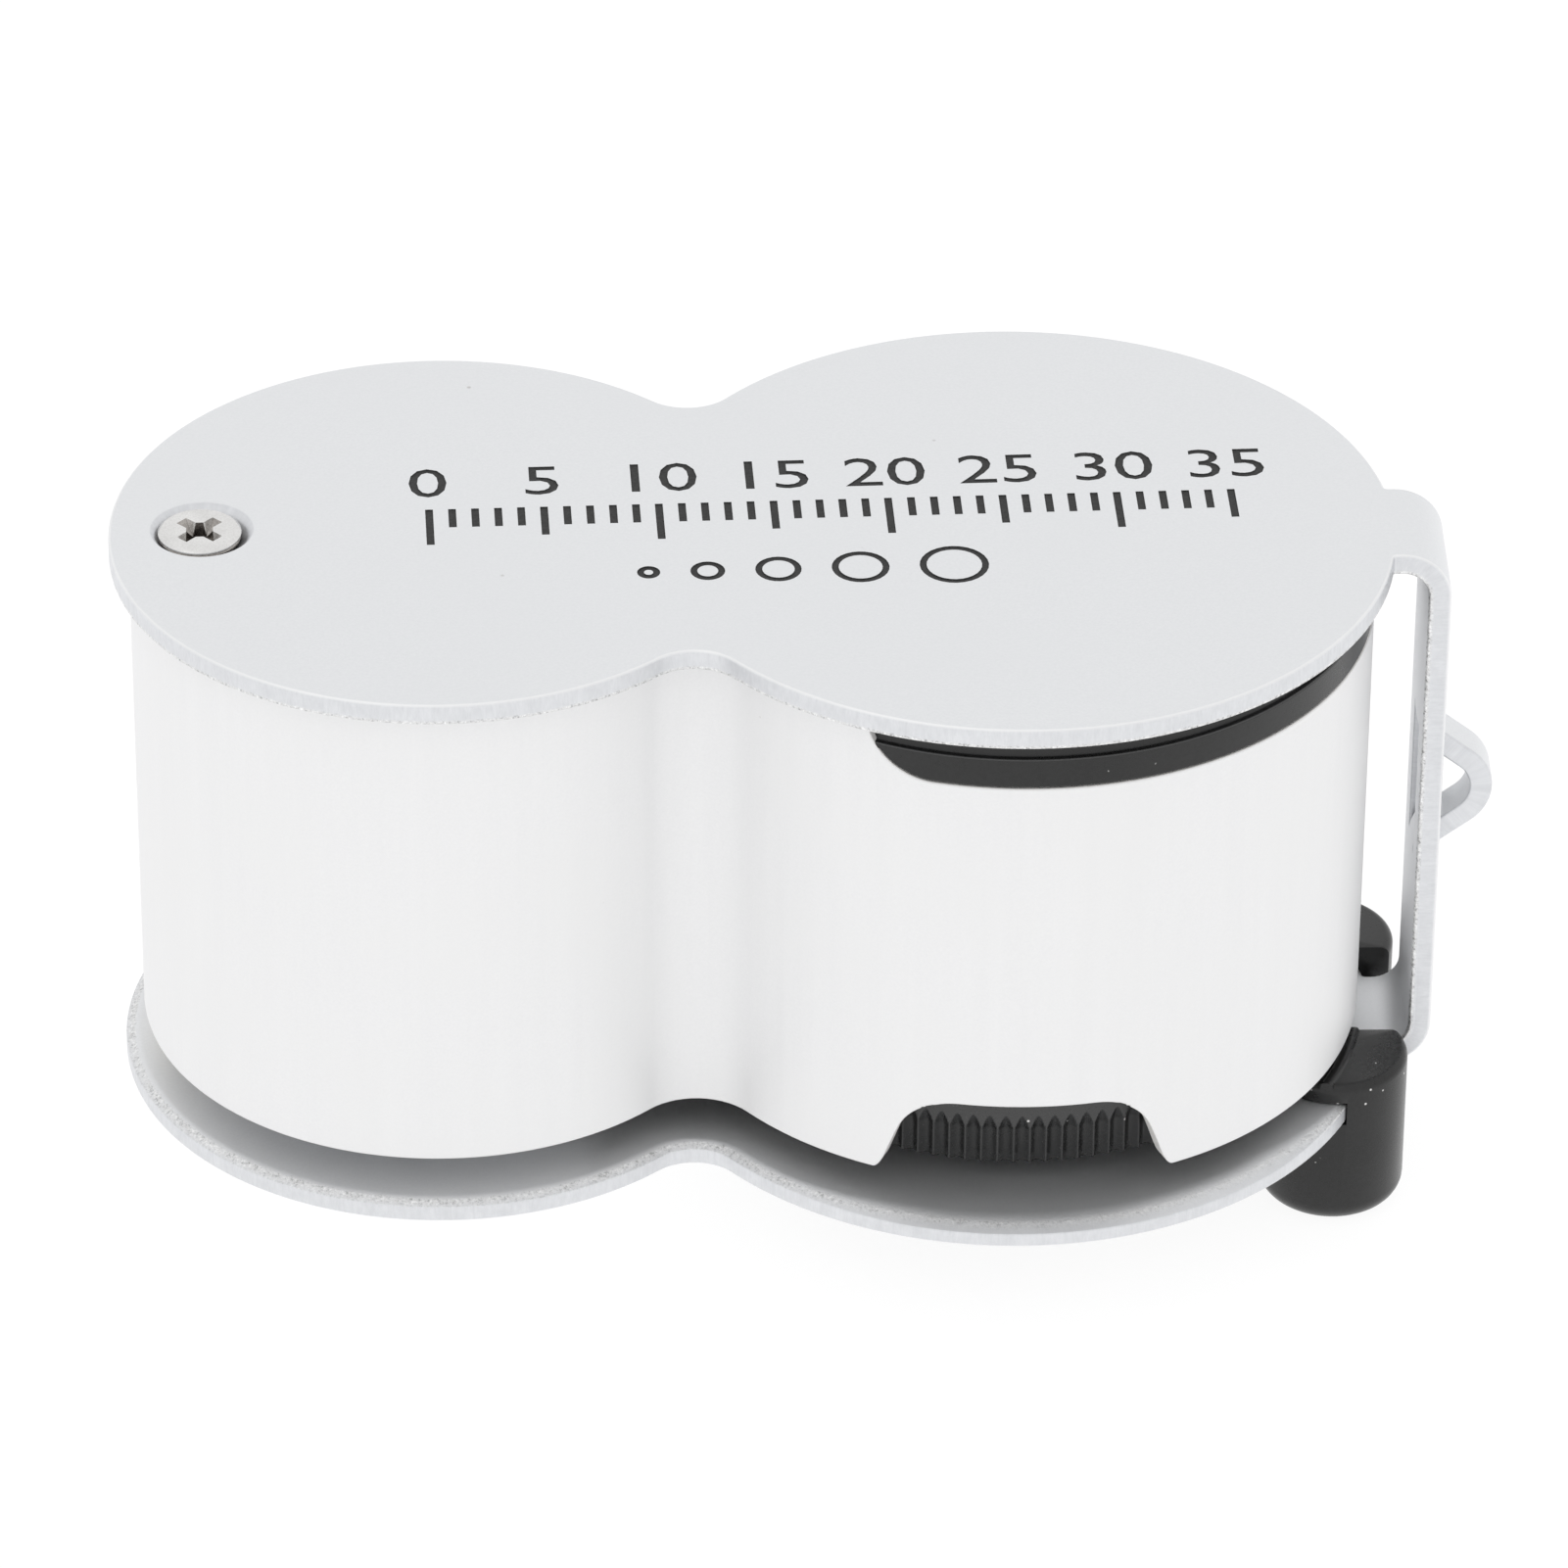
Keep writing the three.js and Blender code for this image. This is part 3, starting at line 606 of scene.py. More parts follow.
def anodised_look():
    look = Look("anodised_sheet", metallic=0.92)
    fine = look.noise(0.13, 3.0, rough=0.65)
    cloud = look.noise(9.0, 2.0)
    tone = look.between(fine, (0.805, 0.815, 0.830), (0.852, 0.861, 0.873))
    tone = look.mix(look.ramp(cloud, ((0.35, 0.0), (0.65, 0.3))), tone, (0.838, 0.846, 0.858))
    fleck = look.ramp(look.cells(4.0), ((0.012, 1.0), (0.03, 0.0)))
    few = look.ramp(look.noise(7.0, 1.0), ((0.50, 0.0), (0.55, 0.8)))
    tone = look.mix(look.math("MULTIPLY", fleck, few), tone, (0.58, 0.57, 0.56))
    edge = look.field("edge")
    across = look.field("across")
    spread = look.node("ShaderNodeCombineXYZ")
    look.link(look.math("MULTIPLY", look.field("along"), 6.0), spread.inputs[0])
    look.link(look.math("MULTIPLY", across, 1.2), spread.inputs[1])
    scratch = look.noise(1.0, 3.0, source=spread.outputs[0], rough=0.7)
    spark = look.noise(0.16, 2.0, rough=0.8)
    lump = look.noise(0.7, 3.0, rough=0.6)
    face = look.ramp(look.mix(0.4, scratch, lump), ((0.35, (0.68, 0.69, 0.71)), (0.65, (0.77, 0.78, 0.80))))
    burr = look.ramp(spark, ((0.34, 0.36), (0.44, 0.70), (0.58, 0.82), (0.66, 1.0)))
    rim = look.mix(look.ramp(across, ((0.74, 0.0), (0.88, 1.0))), face, burr)
    # The rounded edge next to the outer face is painted almost white: a painted highlight.
    rim = look.mix(look.ramp(across, ((0.03, 1.0), (0.14, 0.0))), rim, (0.90, 0.903, 0.907))
    # Mask of the cut edge: its bare, scratched colour, with the painted highlight along its rounded top.
    cut_edge_and_highlight = look.math("ADD", edge, look.math("MULTIPLY", look.math("SUBTRACT", lump, 0.5), 0.5))
    base = look.mix(look.ramp(cut_edge_and_highlight, ((0.35, 0.0), (0.75, 1.0))), tone, rim)
    smoothness = look.between(look.mix(0.5, fine, cloud), 0.50, 0.62)
    rough = look.mix(look.ramp(edge, ((0.5, 0.0), (1.0, 0.6))), smoothness, 0.36)
    surface = look.bump(fine, 0.004, 0.3)
    surface = look.bump(look.math("MULTIPLY", scratch, edge), 0.03, 0.25, surface)
    shear = look.math("MULTIPLY", edge, look.ramp(across, ((0.7, 0.0), (0.9, 1.0))))
    surface = look.bump(look.math("MULTIPLY", spark, shear), 0.05, 0.7, surface)
    return look.set(base=base, roughness=rough, normal=surface)


def shell_look():
    look = Look("shell_aluminium", metallic=0.22)
    fine = look.noise(0.12, 2.0, rough=0.6)
    drawn = look.noise(0.8, 3.0, stretch=(1.0, 1.0, 0.05), rough=0.6)
    cloud = look.noise(6.0, 3.0)
    tone = look.between(look.mix(0.35, fine, drawn), (0.83, 0.83, 0.836), (0.87, 0.87, 0.874))
    tone = look.mix(look.ramp(cloud, ((0.4, 0.0), (0.7, 0.5))), tone, (0.855, 0.855, 0.853))
    speck = look.ramp(look.cells(1.9), ((0.0, 1.0), (0.035, 0.0)))
    keep = look.ramp(look.noise(2.6, 1.0), ((0.60, 0.0), (0.66, 0.7)))
    tone = look.mix(look.math("MULTIPLY", speck, keep), tone, (0.50, 0.46, 0.42))
    edge = look.field("edge")
    # Round edges painted lighter: a painted highlight.
    tone = look.mix(look.ramp(edge, ((0.4, 0.0), (1.0, 0.7))), tone, (0.93, 0.91, 0.88))
    rough = look.between(look.mix(0.5, fine, cloud), 0.44, 0.58)
    surface = look.bump(fine, 0.003, 0.3)
    surface = look.bump(drawn, 0.01, 0.06, surface)
    return look.set(base=tone, roughness=rough, normal=surface)


def black_look(name="black_plastic", dust=True, dark=0.006, light=0.016):
    look = Look(name, specular=0.45)
    grain = look.noise(0.22, 3.0, rough=0.6)
    flow = look.noise(5.0, 3.0, distortion=0.6)
    tone = look.between(look.mix(0.5, grain, flow), dark, light)
    edge = look.field("edge")
    # Round edges and flute crests painted lighter: a painted highlight.
    tone = look.mix(look.ramp(edge, ((0.45, 0.0), (1.0, 0.8))), tone, 0.10)
    if dust:
        speck = look.ramp(look.cells(0.6), ((0.06, 1.0), (0.12, 0.0)))
        keep = look.ramp(look.noise(0.9, 2.0), ((0.58, 0.0), (0.61, 1.0)))
        tone = look.mix(look.math("MULTIPLY", speck, keep), tone, (0.80, 0.79, 0.77))
    rough = look.between(look.mix(0.6, grain, flow), 0.22, 0.34)
    surface = look.bump(grain, 0.010, 0.35)
    surface = look.bump(flow, 0.06, 0.10, surface)
    return look.set(base=tone, roughness=rough, normal=surface)


def nickel_look(name="nickel_plate", dark=(0.66, 0.655, 0.645), light=(0.86, 0.855, 0.845), bump=0.006):
    look = Look(name, metallic=1.0)
    fine = look.noise(0.1, 3.0, rough=0.6)
    cloud = look.noise(1.2, 2.0)
    tone = look.between(look.mix(0.5, fine, cloud), dark, light)
    edge = look.field("edge")
    # Round edges painted lighter: a painted highlight.
    tone = look.mix(look.ramp(edge, ((0.4, 0.0), (1.0, 0.5))), tone, (0.9, 0.885, 0.85))
    rough = look.between(cloud, 0.12, 0.26)
    return look.set(base=tone, roughness=rough, normal=look.bump(fine, bump, 0.35))


def brass_look():
    look = Look("brass_parts", metallic=1.0)
    fine = look.noise(0.12, 3.0)
    cloud = look.noise(2.0, 3.0)
    tone = look.between(cloud, (0.50, 0.36, 0.14), (0.72, 0.55, 0.26))
    rough = look.between(look.mix(0.5, fine, cloud), 0.22, 0.42)
    return look.set(base=tone, roughness=rough, normal=look.bump(fine, 0.006, 0.4))


def nylon_look():
    look = Look("nylon", specular=0.4)
    fine = look.noise(0.25, 3.0)
    cloud = look.noise(1.8, 2.0)
    tone = look.between(cloud, (0.74, 0.72, 0.66), (0.86, 0.85, 0.80))
    rough = look.between(fine, 0.42, 0.62)
    return look.set(base=tone, roughness=rough, normal=look.bump(fine, 0.01, 0.4))


def clear_look(name, tint, low, high, index):
    look = Look(name, transmission=1.0, ior=index)
    smear = look.noise(3.5, 3.0, distortion=1.2)
    dots = look.ramp(look.cells(1.6), ((0.0, 1.0), (0.03, 0.0)))
    keep = look.ramp(look.noise(2.2, 1.0), ((0.55, 0.0), (0.62, 1.0)))
    tone = look.mix(look.math("MULTIPLY", dots, keep), tint, (0.7, 0.7, 0.68))
    rough = look.ramp(smear, ((0.4, low), (0.75, high)))
    return look.set(base=tone, roughness=rough, normal=look.bump(smear, 0.004, 0.1))


def steel_look():
    look = Look("cell_steel", metallic=1.0)
    brushed = look.noise(0.2, 3.0, stretch=(1.0, 0.08, 1.0))
    cloud = look.noise(1.6, 3.0)
    tone = look.between(look.mix(0.5, brushed, cloud), (0.52, 0.53, 0.54), (0.76, 0.77, 0.78))
    rough = look.between(brushed, 0.2, 0.4)
    return look.set(base=tone, roughness=rough, normal=look.bump(brushed, 0.006, 0.3))


def board_look():
    look = Look("circuit_board", coat=0.4)
    weave = look.node("ShaderNodeTexChecker", {"Scale": 1 / (0.35 * MM)})
    look.link(look.where, weave.inputs["Vector"])
    cloud = look.noise(1.5, 3.0)
    tone = look.mix(look.between(cloud, 0.1, 0.5), (0.012, 0.11, 0.04), (0.03, 0.19, 0.075))
    tone = look.mix(0.06, tone, weave.outputs["Color"])
    rough = look.between(cloud, 0.32, 0.5)
    return look.set(base=tone, roughness=rough, normal=look.bump(weave.outputs["Fac"], 0.004, 0.3))


def ink_look():
    look = Look("scale_ink", specular=0.3)
    fine = look.noise(0.12, 3.0)
    patchy = look.noise(0.8, 3.0)
    tone = look.between(look.mix(0.5, fine, patchy), 0.016, 0.055)
    rough = look.between(patchy, 0.5, 0.75)
    return look.set(base=tone, roughness=rough, normal=look.bump(fine, 0.01, 0.5))


ANODISED = anodised_look()
SHELL_METAL = shell_look()
BLACK = black_look()
MATT_BLACK = black_look("matt_black", dust=False, dark=0.005, light=0.012)
NICKEL = nickel_look()
# Dark nickel for the screw's recess and the head's side in its countersink: painted shade.
NICKEL_PAINTED_SHADE = nickel_look("nickel_painted_shade", (0.14, 0.125, 0.115), (0.50, 0.475, 0.45), 0.02)
BRASS = brass_look()
NYLON = nylon_look()
GLASS = clear_look("lens_glass", (0.97, 0.99, 0.985), 0.0, 0.03, 1.52)
ACRYLIC = clear_look("clear_acrylic", (0.97, 0.98, 0.985), 0.02, 0.10, 1.49)
EPOXY = clear_look("led_epoxy", (0.96, 0.97, 0.99), 0.03, 0.12, 1.5)
STEEL = steel_look()
BOARD = board_look()
INK = ink_look()


# ---------------------------------------------------------------- cover

BEND_START = STRIP_REACH - BEND_RADIUS
MID_RADIUS = BEND_RADIUS - SHEET / 2
BEND_LENGTH = MID_RADIUS * QUARTER
STRAIGHT = HEIGHT - 2 * BEND_RADIUS
STRIP_END = BEND_START + 2 * BEND_LENGTH + STRAIGHT


def loop_path():
    """The lanyard loop's middle line in X and Z with its direction, from top to bottom."""
    arcs = LOOP_FLARE + LOOP_TIP
    straight = (LOOP_BULGE - arcs * (1 - cos(LOOP_ANGLE))) / sin(LOOP_ANGLE)
    half = arcs * sin(LOOP_ANGLE) + straight * cos(LOOP_ANGLE)
    heading = -QUARTER
    points = [(Vector((STRIP_REACH - SHEET / 2, LOOP_HEIGHT + half)), heading)]
    bends = (
        (LOOP_FLARE * LOOP_ANGLE, LOOP_ANGLE),
        (straight, 0.0),
        (LOOP_TIP * 2 * LOOP_ANGLE, -2 * LOOP_ANGLE),
        (straight, 0.0),
        (LOOP_FLARE * LOOP_ANGLE, LOOP_ANGLE),
    )
    for span, turn in bends:
        for _ in range(LOOP_STEPS):
            middle = heading + turn / LOOP_STEPS / 2
            heading += turn / LOOP_STEPS
            step = Vector((cos(middle), sin(middle))) * (span / LOOP_STEPS)
            points.append((points[-1][0] + step, heading))
    return half, points


LOOP_HALF, LOOP_POINTS = loop_path()
LOOP_U = BEND_START + BEND_LENGTH + (HEIGHT - BEND_RADIUS - LOOP_HEIGHT)


def on_sheet(at, w, c, s):
    """A place w out from at along the normal (c, 0, s), with its two directions in the sheet."""
    n = Vector((c, 0.0, s))
    return Vector(at) + n * w, Vector((s, 0.0, -c)), Y_AXIS, n


def cover_place(u, v, w):
    """The flat pattern's point (u, v), w out from its outer face, once the sheet is bent."""
    if abs(v) < LOOP_HALF_WIDTH + SLIT_WIDTH / 2 and abs(u - LOOP_U) < LOOP_HALF:
        at = (u - LOOP_U + LOOP_HALF) / (2 * LOOP_HALF) * (len(LOOP_POINTS) - 1)
        i = min(int(at), len(LOOP_POINTS) - 2)
        (p0, h0), (p1, h1) = LOOP_POINTS[i], LOOP_POINTS[i + 1]
        p, h = p0.lerp(p1, at - i), h0 + (h1 - h0) * (at - i)
        return on_sheet((p.x, v, p.y), w + SHEET / 2, -sin(h), cos(h))
    if u <= BEND_START:
        return on_sheet((u, v, HEIGHT), w, 0.0, 1.0)
    u -= BEND_START
    if u <= BEND_LENGTH:
        a = u / MID_RADIUS
        return on_sheet((BEND_START, v, HEIGHT - BEND_RADIUS), BEND_RADIUS + w, sin(a), cos(a))
    u -= BEND_LENGTH
    if u <= STRAIGHT:
        return on_sheet((STRIP_REACH, v, HEIGHT - BEND_RADIUS - u), w, 1.0, 0.0)
    u -= STRAIGHT
    if u <= BEND_LENGTH:
        a = u / MID_RADIUS
        return on_sheet((BEND_START, v, BEND_RADIUS), BEND_RADIUS + w, cos(a), -sin(a))
    u -= BEND_LENGTH
    return on_sheet((BEND_START - u, v, 0.0), w, 0.0, -1.0)


def plate_part():
    """The top plate's outline from the strip's far edge, round both lobes, to its near edge."""
    reach = PLATE["large"] + ROOT_FILLET
    y = STRIP_HALF + ROOT_FILLET
    x = sqrt(reach ** 2 - y ** 2)
    meet = atan2(y, x)
    root = arc(x, y, ROOT_FILLET, 1.5 * pi, pi + meet, 8, -1)
    return both_halves(root[:-1] + half_outline(PLATE, meet))


def strip_stations():
    """Lengths along the flat pattern at which the strip has vertices."""
    spans = ((BEND_START, BEND_LENGTH, 16), (BEND_START + BEND_LENGTH, STRAIGHT, 40))
    first, middle = [[start + length * k / steps for k in range(steps + 1)] for start, length, steps in spans]
    low = BEND_START + BEND_LENGTH + STRAIGHT
    return first + middle[1:-1] + [low + BEND_LENGTH * k / 16 for k in range(17)]


def cover_outline():
    """The flat pattern: a plate, the strip and the plate's mirror image."""
    part = plate_part()
    far = STRIP_END + BEND_START
    mirrored = [(Vector((far - p.x, p.y)), Vector((-n.x, n.y))) for p, n in reversed(part)]
    start, end = part[-1][0].x, mirrored[0][0].x
    along = [u for u in strip_stations() if start + 0.05 < u < end - 0.05]
    near = [(Vector((u, -STRIP_HALF)), Vector((0, -1))) for u in along]
    back = [(Vector((u, STRIP_HALF)), Vector((0, 1))) for u in reversed(along)]
    return near + mirrored + back + part


def slit(side):
    """One of the two narrow cuts beside the lanyard loop."""
    y, r = side * (LOOP_HALF_WIDTH + SLIT_WIDTH / 2), SLIT_WIDTH / 2
    u0, u1 = LOOP_U - LOOP_HALF + r, LOOP_U + LOOP_HALF - r
    steps = 90
    points = [(Vector((u0 + (u1 - u0) * k / steps, y + r)), Vector((0, -1))) for k in range(steps + 1)]
    points += arc(u1, y, r, QUARTER, -QUARTER, 6, -1)[1:-1]
    points += [(Vector((u1 + (u0 - u1) * k / steps, y - r)), Vector((0, 1))) for k in range(steps + 1)]
    points += arc(u0, y, r, -QUARTER, -1.5 * pi, 6, -1)[1:-1]
    return points


# The screw hole's wall, countersunk from the outer face
SINK_WALL = (
    (1.30, 0.0, 0.0, 1.0),
    (1.26, -0.01, 0.3, 0.95),
    (1.22, -0.03, 0.5, 0.85),
    (0.96, -0.36, 0.75, 0.65),
    (0.03, -0.88, 0.6, 0.8),
    (0.0, -0.91, 1.0, 0.0),
    (0.0, -0.96, 1.0, 0.0),
    (0.04, -SHEET, 0.0, -1.0),
)


def glyphs(text, height, at, lean):
    """The outlines of generic numerals, height tall, centred on at."""
    curve = bpy.data.curves.new("numeral", "FONT")
    curve.body = text
    curve.align_x = "CENTER"
    curve.resolution_u = 3
    curve.size = height / 0.7
    obj = added("numeral", curve)
    bm = bmesh.new()
    bm.from_mesh(evaluated(obj))
    bmesh.ops.remove_doubles(bm, verts=bm.verts, dist=1e-4)
    follow = {}
    for edge in bm.edges:
        if len(edge.link_faces) == 1:
            loop = edge.link_loops[0]
            follow[loop.vert.index] = loop.link_loop_next.vert.index
    bm.verts.ensure_lookup_table()
    places = {v.index: v.co.copy() for v in bm.verts}
    bm.free()
    bpy.data.objects.remove(obj)
    c, s = cos(lean), sin(lean)
    loops = []
    while follow:
        first = next(iter(follow))
        loop, here = [], first
        while here in follow:
            p = places[here]
            x, y = p.x * 1.12, p.y
            loop.append((at[0] + c * x - s * y, at[1] + s * x + c * y))
            here = follow.pop(here)
        loops.append(loop)
    return loops


def scale_marks():
    """A generic ruler engraved on the top plate: numerals, millimetre ticks and gauge circles."""
    lean = radians(2.1)
    c, s = cos(lean), sin(lean)

    def spot(x, y):
        return -25.3 + c * x - s * y, 2.2 + s * x + c * y

    loops = []
    for value in range(0, 36, 5):
        loops += glyphs(str(value), 2.35, spot(value - 0.2, 0.35), lean)
    for k in range(36):
        length = 2.9 if k % 10 == 0 else 2.3 if k % 5 == 0 else 1.5
        half = 0.17
        corners = ((k - half, -0.7), (k - half, -0.7 - length), (k + half, -0.7 - length), (k + half, -0.7))
        loops.append([spot(x - 0.2, y) for x, y in corners])
    x = 8.6
    for size in (1.0, 1.5, 2.0, 2.5, 3.0):
        x += size / 2
        for radius in (size / 2, max(size / 2 - 0.3, 0.12)):
            points = arc(0, 0, radius, 0, TAU, 28)[:-1]
            loops.append([spot(x + p.x, -6.3 + p.y) for p, _ in points])
        x += size / 2 + 1.3
    return loops


def cover():
    far_end = STRIP_END + BEND_START

    def plate_edge(p):
        """The cut edge, rolled over more on the bottom plate's inner side, most at its large lobe."""
        low = min(1.0, max(0.0, (p.x - STRIP_END - 1.0) / 4.0))
        large = min(1.0, max(0.0, (far_end + 10.0 - p.x) / 5.0))
        wide, deep = 0.06 + low * (0.34 + 0.40 * large), 0.03 + low * (0.15 + 0.12 * large)
        tilt = atan2(deep, wide)
        out, up = sin(tilt), -cos(tilt)
        rows = edge_wall(0.0, deep - SHEET, 0.16, 0.10, 6)[:-2]
        rows.append((0.10, deep - SHEET, out, up))
        rows.append((0.10 + 0.6 * wide, 0.35 * deep - SHEET, out, up))
        rows.append((0.10 + 1.0 * wide, 0.08 * deep - SHEET, out * 0.45, up))
        rows.append((0.10 + 1.5 * wide, -SHEET, 0.0, -1.0))
        return rows

    slit_edge = edge_wall(0.0, -SHEET, 0.16, 0.12, 3)
    loops = [
        (cover_outline(), plate_edge),
        (circle(PIVOT_X + 0.1, 0, 1.0, 64), SINK_WALL),
        (circle(far_end - PIVOT_X, 0, 1.0, 64), SINK_WALL),
        (slit(1), slit_edge),
        (slit(-1), slit_edge),
    ]
    grid = []
    for u in strip_stations():
        clear = abs(u - LOOP_U) > LOOP_HALF + 0.2
        grid += [(u, v) for v in (-2.2, -1.5, 0.0, 1.5, 2.2) if clear or abs(v) > 1.4]
    steps = 60
    for k in range(steps + 1):
        u = LOOP_U - LOOP_HALF + 2 * LOOP_HALF * k / steps
        grid += [(u, v) for v in (-0.45, 0.0, 0.45)]
    shape = slab(loops, cover_place, grid, scale_marks())
    piece("cover_sheet", shape, "cover", (ANODISED, INK), "anodised_sheet", "cover_frame", dx=0.0)


# ---------------------------------------------------------------- pivot

def pivot_screw(name, node, face, up):
    """A countersunk screw with a cross recess; up is the way its head looks."""
    top = face - up * 0.012
    corners = [
        (0.0, top),
        (1.68, top, 0.04),
        (1.82, top - up * 0.10, 0.03),
        (1.82, top - up * 0.17, 0.02),
        (1.70, top - up * 0.22, 0.03),
        (1.80, top - up * 0.30, 0.04),
        (1.78, top - up * 0.46, 0.06),
        (0.8, top - up * 0.98),
        (0.8, top - up * 5.0, 0.1),
        (0.0, top - up * 5.0),
    ]
    if up < 0:
        corners.reverse()
    screw = raw(name, lathe(corners, (PIVOT_X, 0), closed=False, steps=5))
    cutters = []
    for k in range(2):
        arm = block(PIVOT_X - 1.30, PIVOT_X + 1.30, -0.30, 0.30, *sorted((top + up * 0.3, top - up * 0.7)))
        for i, (x, y, z) in enumerate(arm.points):
            length, width = (0.5, 0.7) if (z - top) * up < 0 else (1.0, 1.1)
            arm.points[i] = (PIVOT_X + (x - PIVOT_X) * length, y * width, z)
        cutters.append(raw("arm", turned_about(arm, radians(47 + 90 * k), PIVOT_X, 0)))
    heart = block(PIVOT_X - 0.58, PIVOT_X + 0.58, -0.58, 0.58, *sorted((top + up * 0.3, top - up * 1.1)))
    cutters.append(raw("heart", turned_about(heart, radians(2), PIVOT_X, 0)))
    carve(screw, *cutters)
    finished(screw, 0.03)
    # Faces deep in the recess and the head's side below its edge take the dark nickel: painted shade.
    for polygon in screw.data.polygons:
        middle = (polygon.center - ORIGIN) / MM
        away = hypot(middle.x - PIVOT_X, middle.y)
        low = (top - middle.z) * up
        polygon.material_index = int((away < 1.3 and low > 0.2) or (away > 1.66 and low > 0.19))
    settle(screw, "cover", (NICKEL, NICKEL_PAINTED_SHADE), "nickel_plate", node)


# ---------------------------------------------------------------- lens body

def rim_height(x):
    """The shell's upper edge over the length x."""
    r = RIM_CUT["radius"]
    corner = RIM_CUT["x"] + r
    if x <= RIM_CUT["x"]:
        return SHELL_TOP
    if x >= corner:
        return RIM_CUT["z"]
    return min(SHELL_TOP, RIM_CUT["z"] + r - sqrt(max(0.0, r * r - (corner - x) ** 2)))


def notch_height(x):
    """The shell's lower edge over the length x."""
    slope = atan2(NOTCH["height"] - SHELL_BOTTOM, NOTCH["foot"] - NOTCH["top"])
    r = NOTCH["radius"]
    corner = NOTCH["top"] - r * tan(slope / 2)
    away = abs(x)
    tangent = corner + r * sin(slope)
    if away >= NOTCH["foot"]:
        return SHELL_BOTTOM
    if away <= corner:
        return NOTCH["height"]
    if away <= tangent:
        return NOTCH["height"] - r + sqrt(max(0.0, r * r - (away - corner) ** 2))
    return SHELL_BOTTOM + (NOTCH["foot"] - away) * tan(slope)


def softened(values, spans, reach):
    """Heights averaged over a short way along the closed edge, so that corners are slightly round."""
    count = len(values)
    out = []
    for i in range(count):
        total, weight = 0.0, 0.0
        for j, step in ((i, 1), (i - 1, -1)):
            travel = 0.0
            while travel <= reach:
                total += values[j % count] * spans[j % count]
                weight += spans[j % count]
                travel += spans[j % count]
                j += step
        out.append(total / weight)
    return out


def body_columns():
    """Stations round the shell, close together where its edges step."""
    outline = figure_eight(SHELL, 2.0)
    fine = []
    for i, (p0, n0) in enumerate(outline):
        p1, n1 = outline[(i + 1) % len(outline)]
        busy = min(abs(abs(p0.x) - 5.7), abs(p0.x - RIM_CUT["x"])) < 1.4
        parts = 8 if busy else 1
        for k in range(parts):
            fine.append((p0.lerp(p1, k / parts), n0.lerp(n1, k / parts).normalized()))
    return fine


def shell_wall():
    """The tube's wall with its rim cut and finger notches, all its edges slightly round."""
    outline = body_columns()
    count = len(outline)
    spans = [(outline[(i + 1) % count][0] - p).length for i, (p, _) in enumerate(outline)]
    lengths = [sum(spans[:i]) for i in range(count)]
    high = softened([rim_height(p.x) for p, _ in outline], spans, 0.06)
    low = softened([notch_height(p.x) for p, _ in outline], spans, 0.26)
    shape = Shape()

    def row(heights, sign, depth, drop, out, lift):
        ids = []
        for i, (p, n) in enumerate(outline):
            ds = spans[i - 1] + spans[i]
            slope = atan2(heights[(i + 1) % count] - heights[i - 1], ds)
            across = Vector((-n.y, n.x))
            q = p - n * depth
            normal = n * out - across * (sin(slope) * sign * lift)
            z = heights[i] - sign * drop / max(cos(slope), 0.5)
            # lift is also the edge mark, which the shell look paints lighter as a highlight.
            ids.append(shape.point((q.x, q.y, z), (*normal, cos(slope) * sign * lift), lift, lengths[i]))
        return ids

    rows = []
    for heights, sign in ((high, 1), (low, -1)):
        edge = [row(heights, sign, 0.0, 0.6, 1.0, 0.0)]
        for face, way in ((0.0, 1), (SHELL_WALL, -1)):
            for t in [QUARTER * k / 3 for k in range(4)][::way]:
                depth = face + way * SHELL_BEVEL * (1 - cos(t))
                drop = SHELL_BEVEL * (1 - sin(t))
                edge.append(row(heights, sign, depth, drop, way * cos(t), sin(t)))
        edge.append(row(heights, sign, SHELL_WALL, 0.6, -1.0, 0.0))
        rows += edge if sign > 0 else edge[::-1]
    shape.rows(rows, closed=True)
    return shape


def body_shell():
    piece("shell_tube", shell_wall(), "lens_body", (SHELL_METAL,), "shell_aluminium", "body_shell")


def shell_floor():
    """The shell's closed underside at its small end, open round the bush."""
    outline = [(p, n) for p, n in figure_eight(grown(SHELL, -1.02)) if p.x < FLOOR_END]
    upper = [(p, n) for p, n in outline if p.y > BUSH_GAP]
    lower = [(p, n) for p, n in outline if p.y < -BUSH_GAP]
    gap = arc(PIVOT_X - BODY_X, 0, BUSH_GAP, QUARTER, -QUARTER, 24, -1)
    shape = slab([(upper + gap + lower, edge_wall(2.88, 2.72, 0.02, 0.05, 3))])
    piece("shell_floor", shape, "lens_body", (SHELL_METAL,), "shell_aluminium")


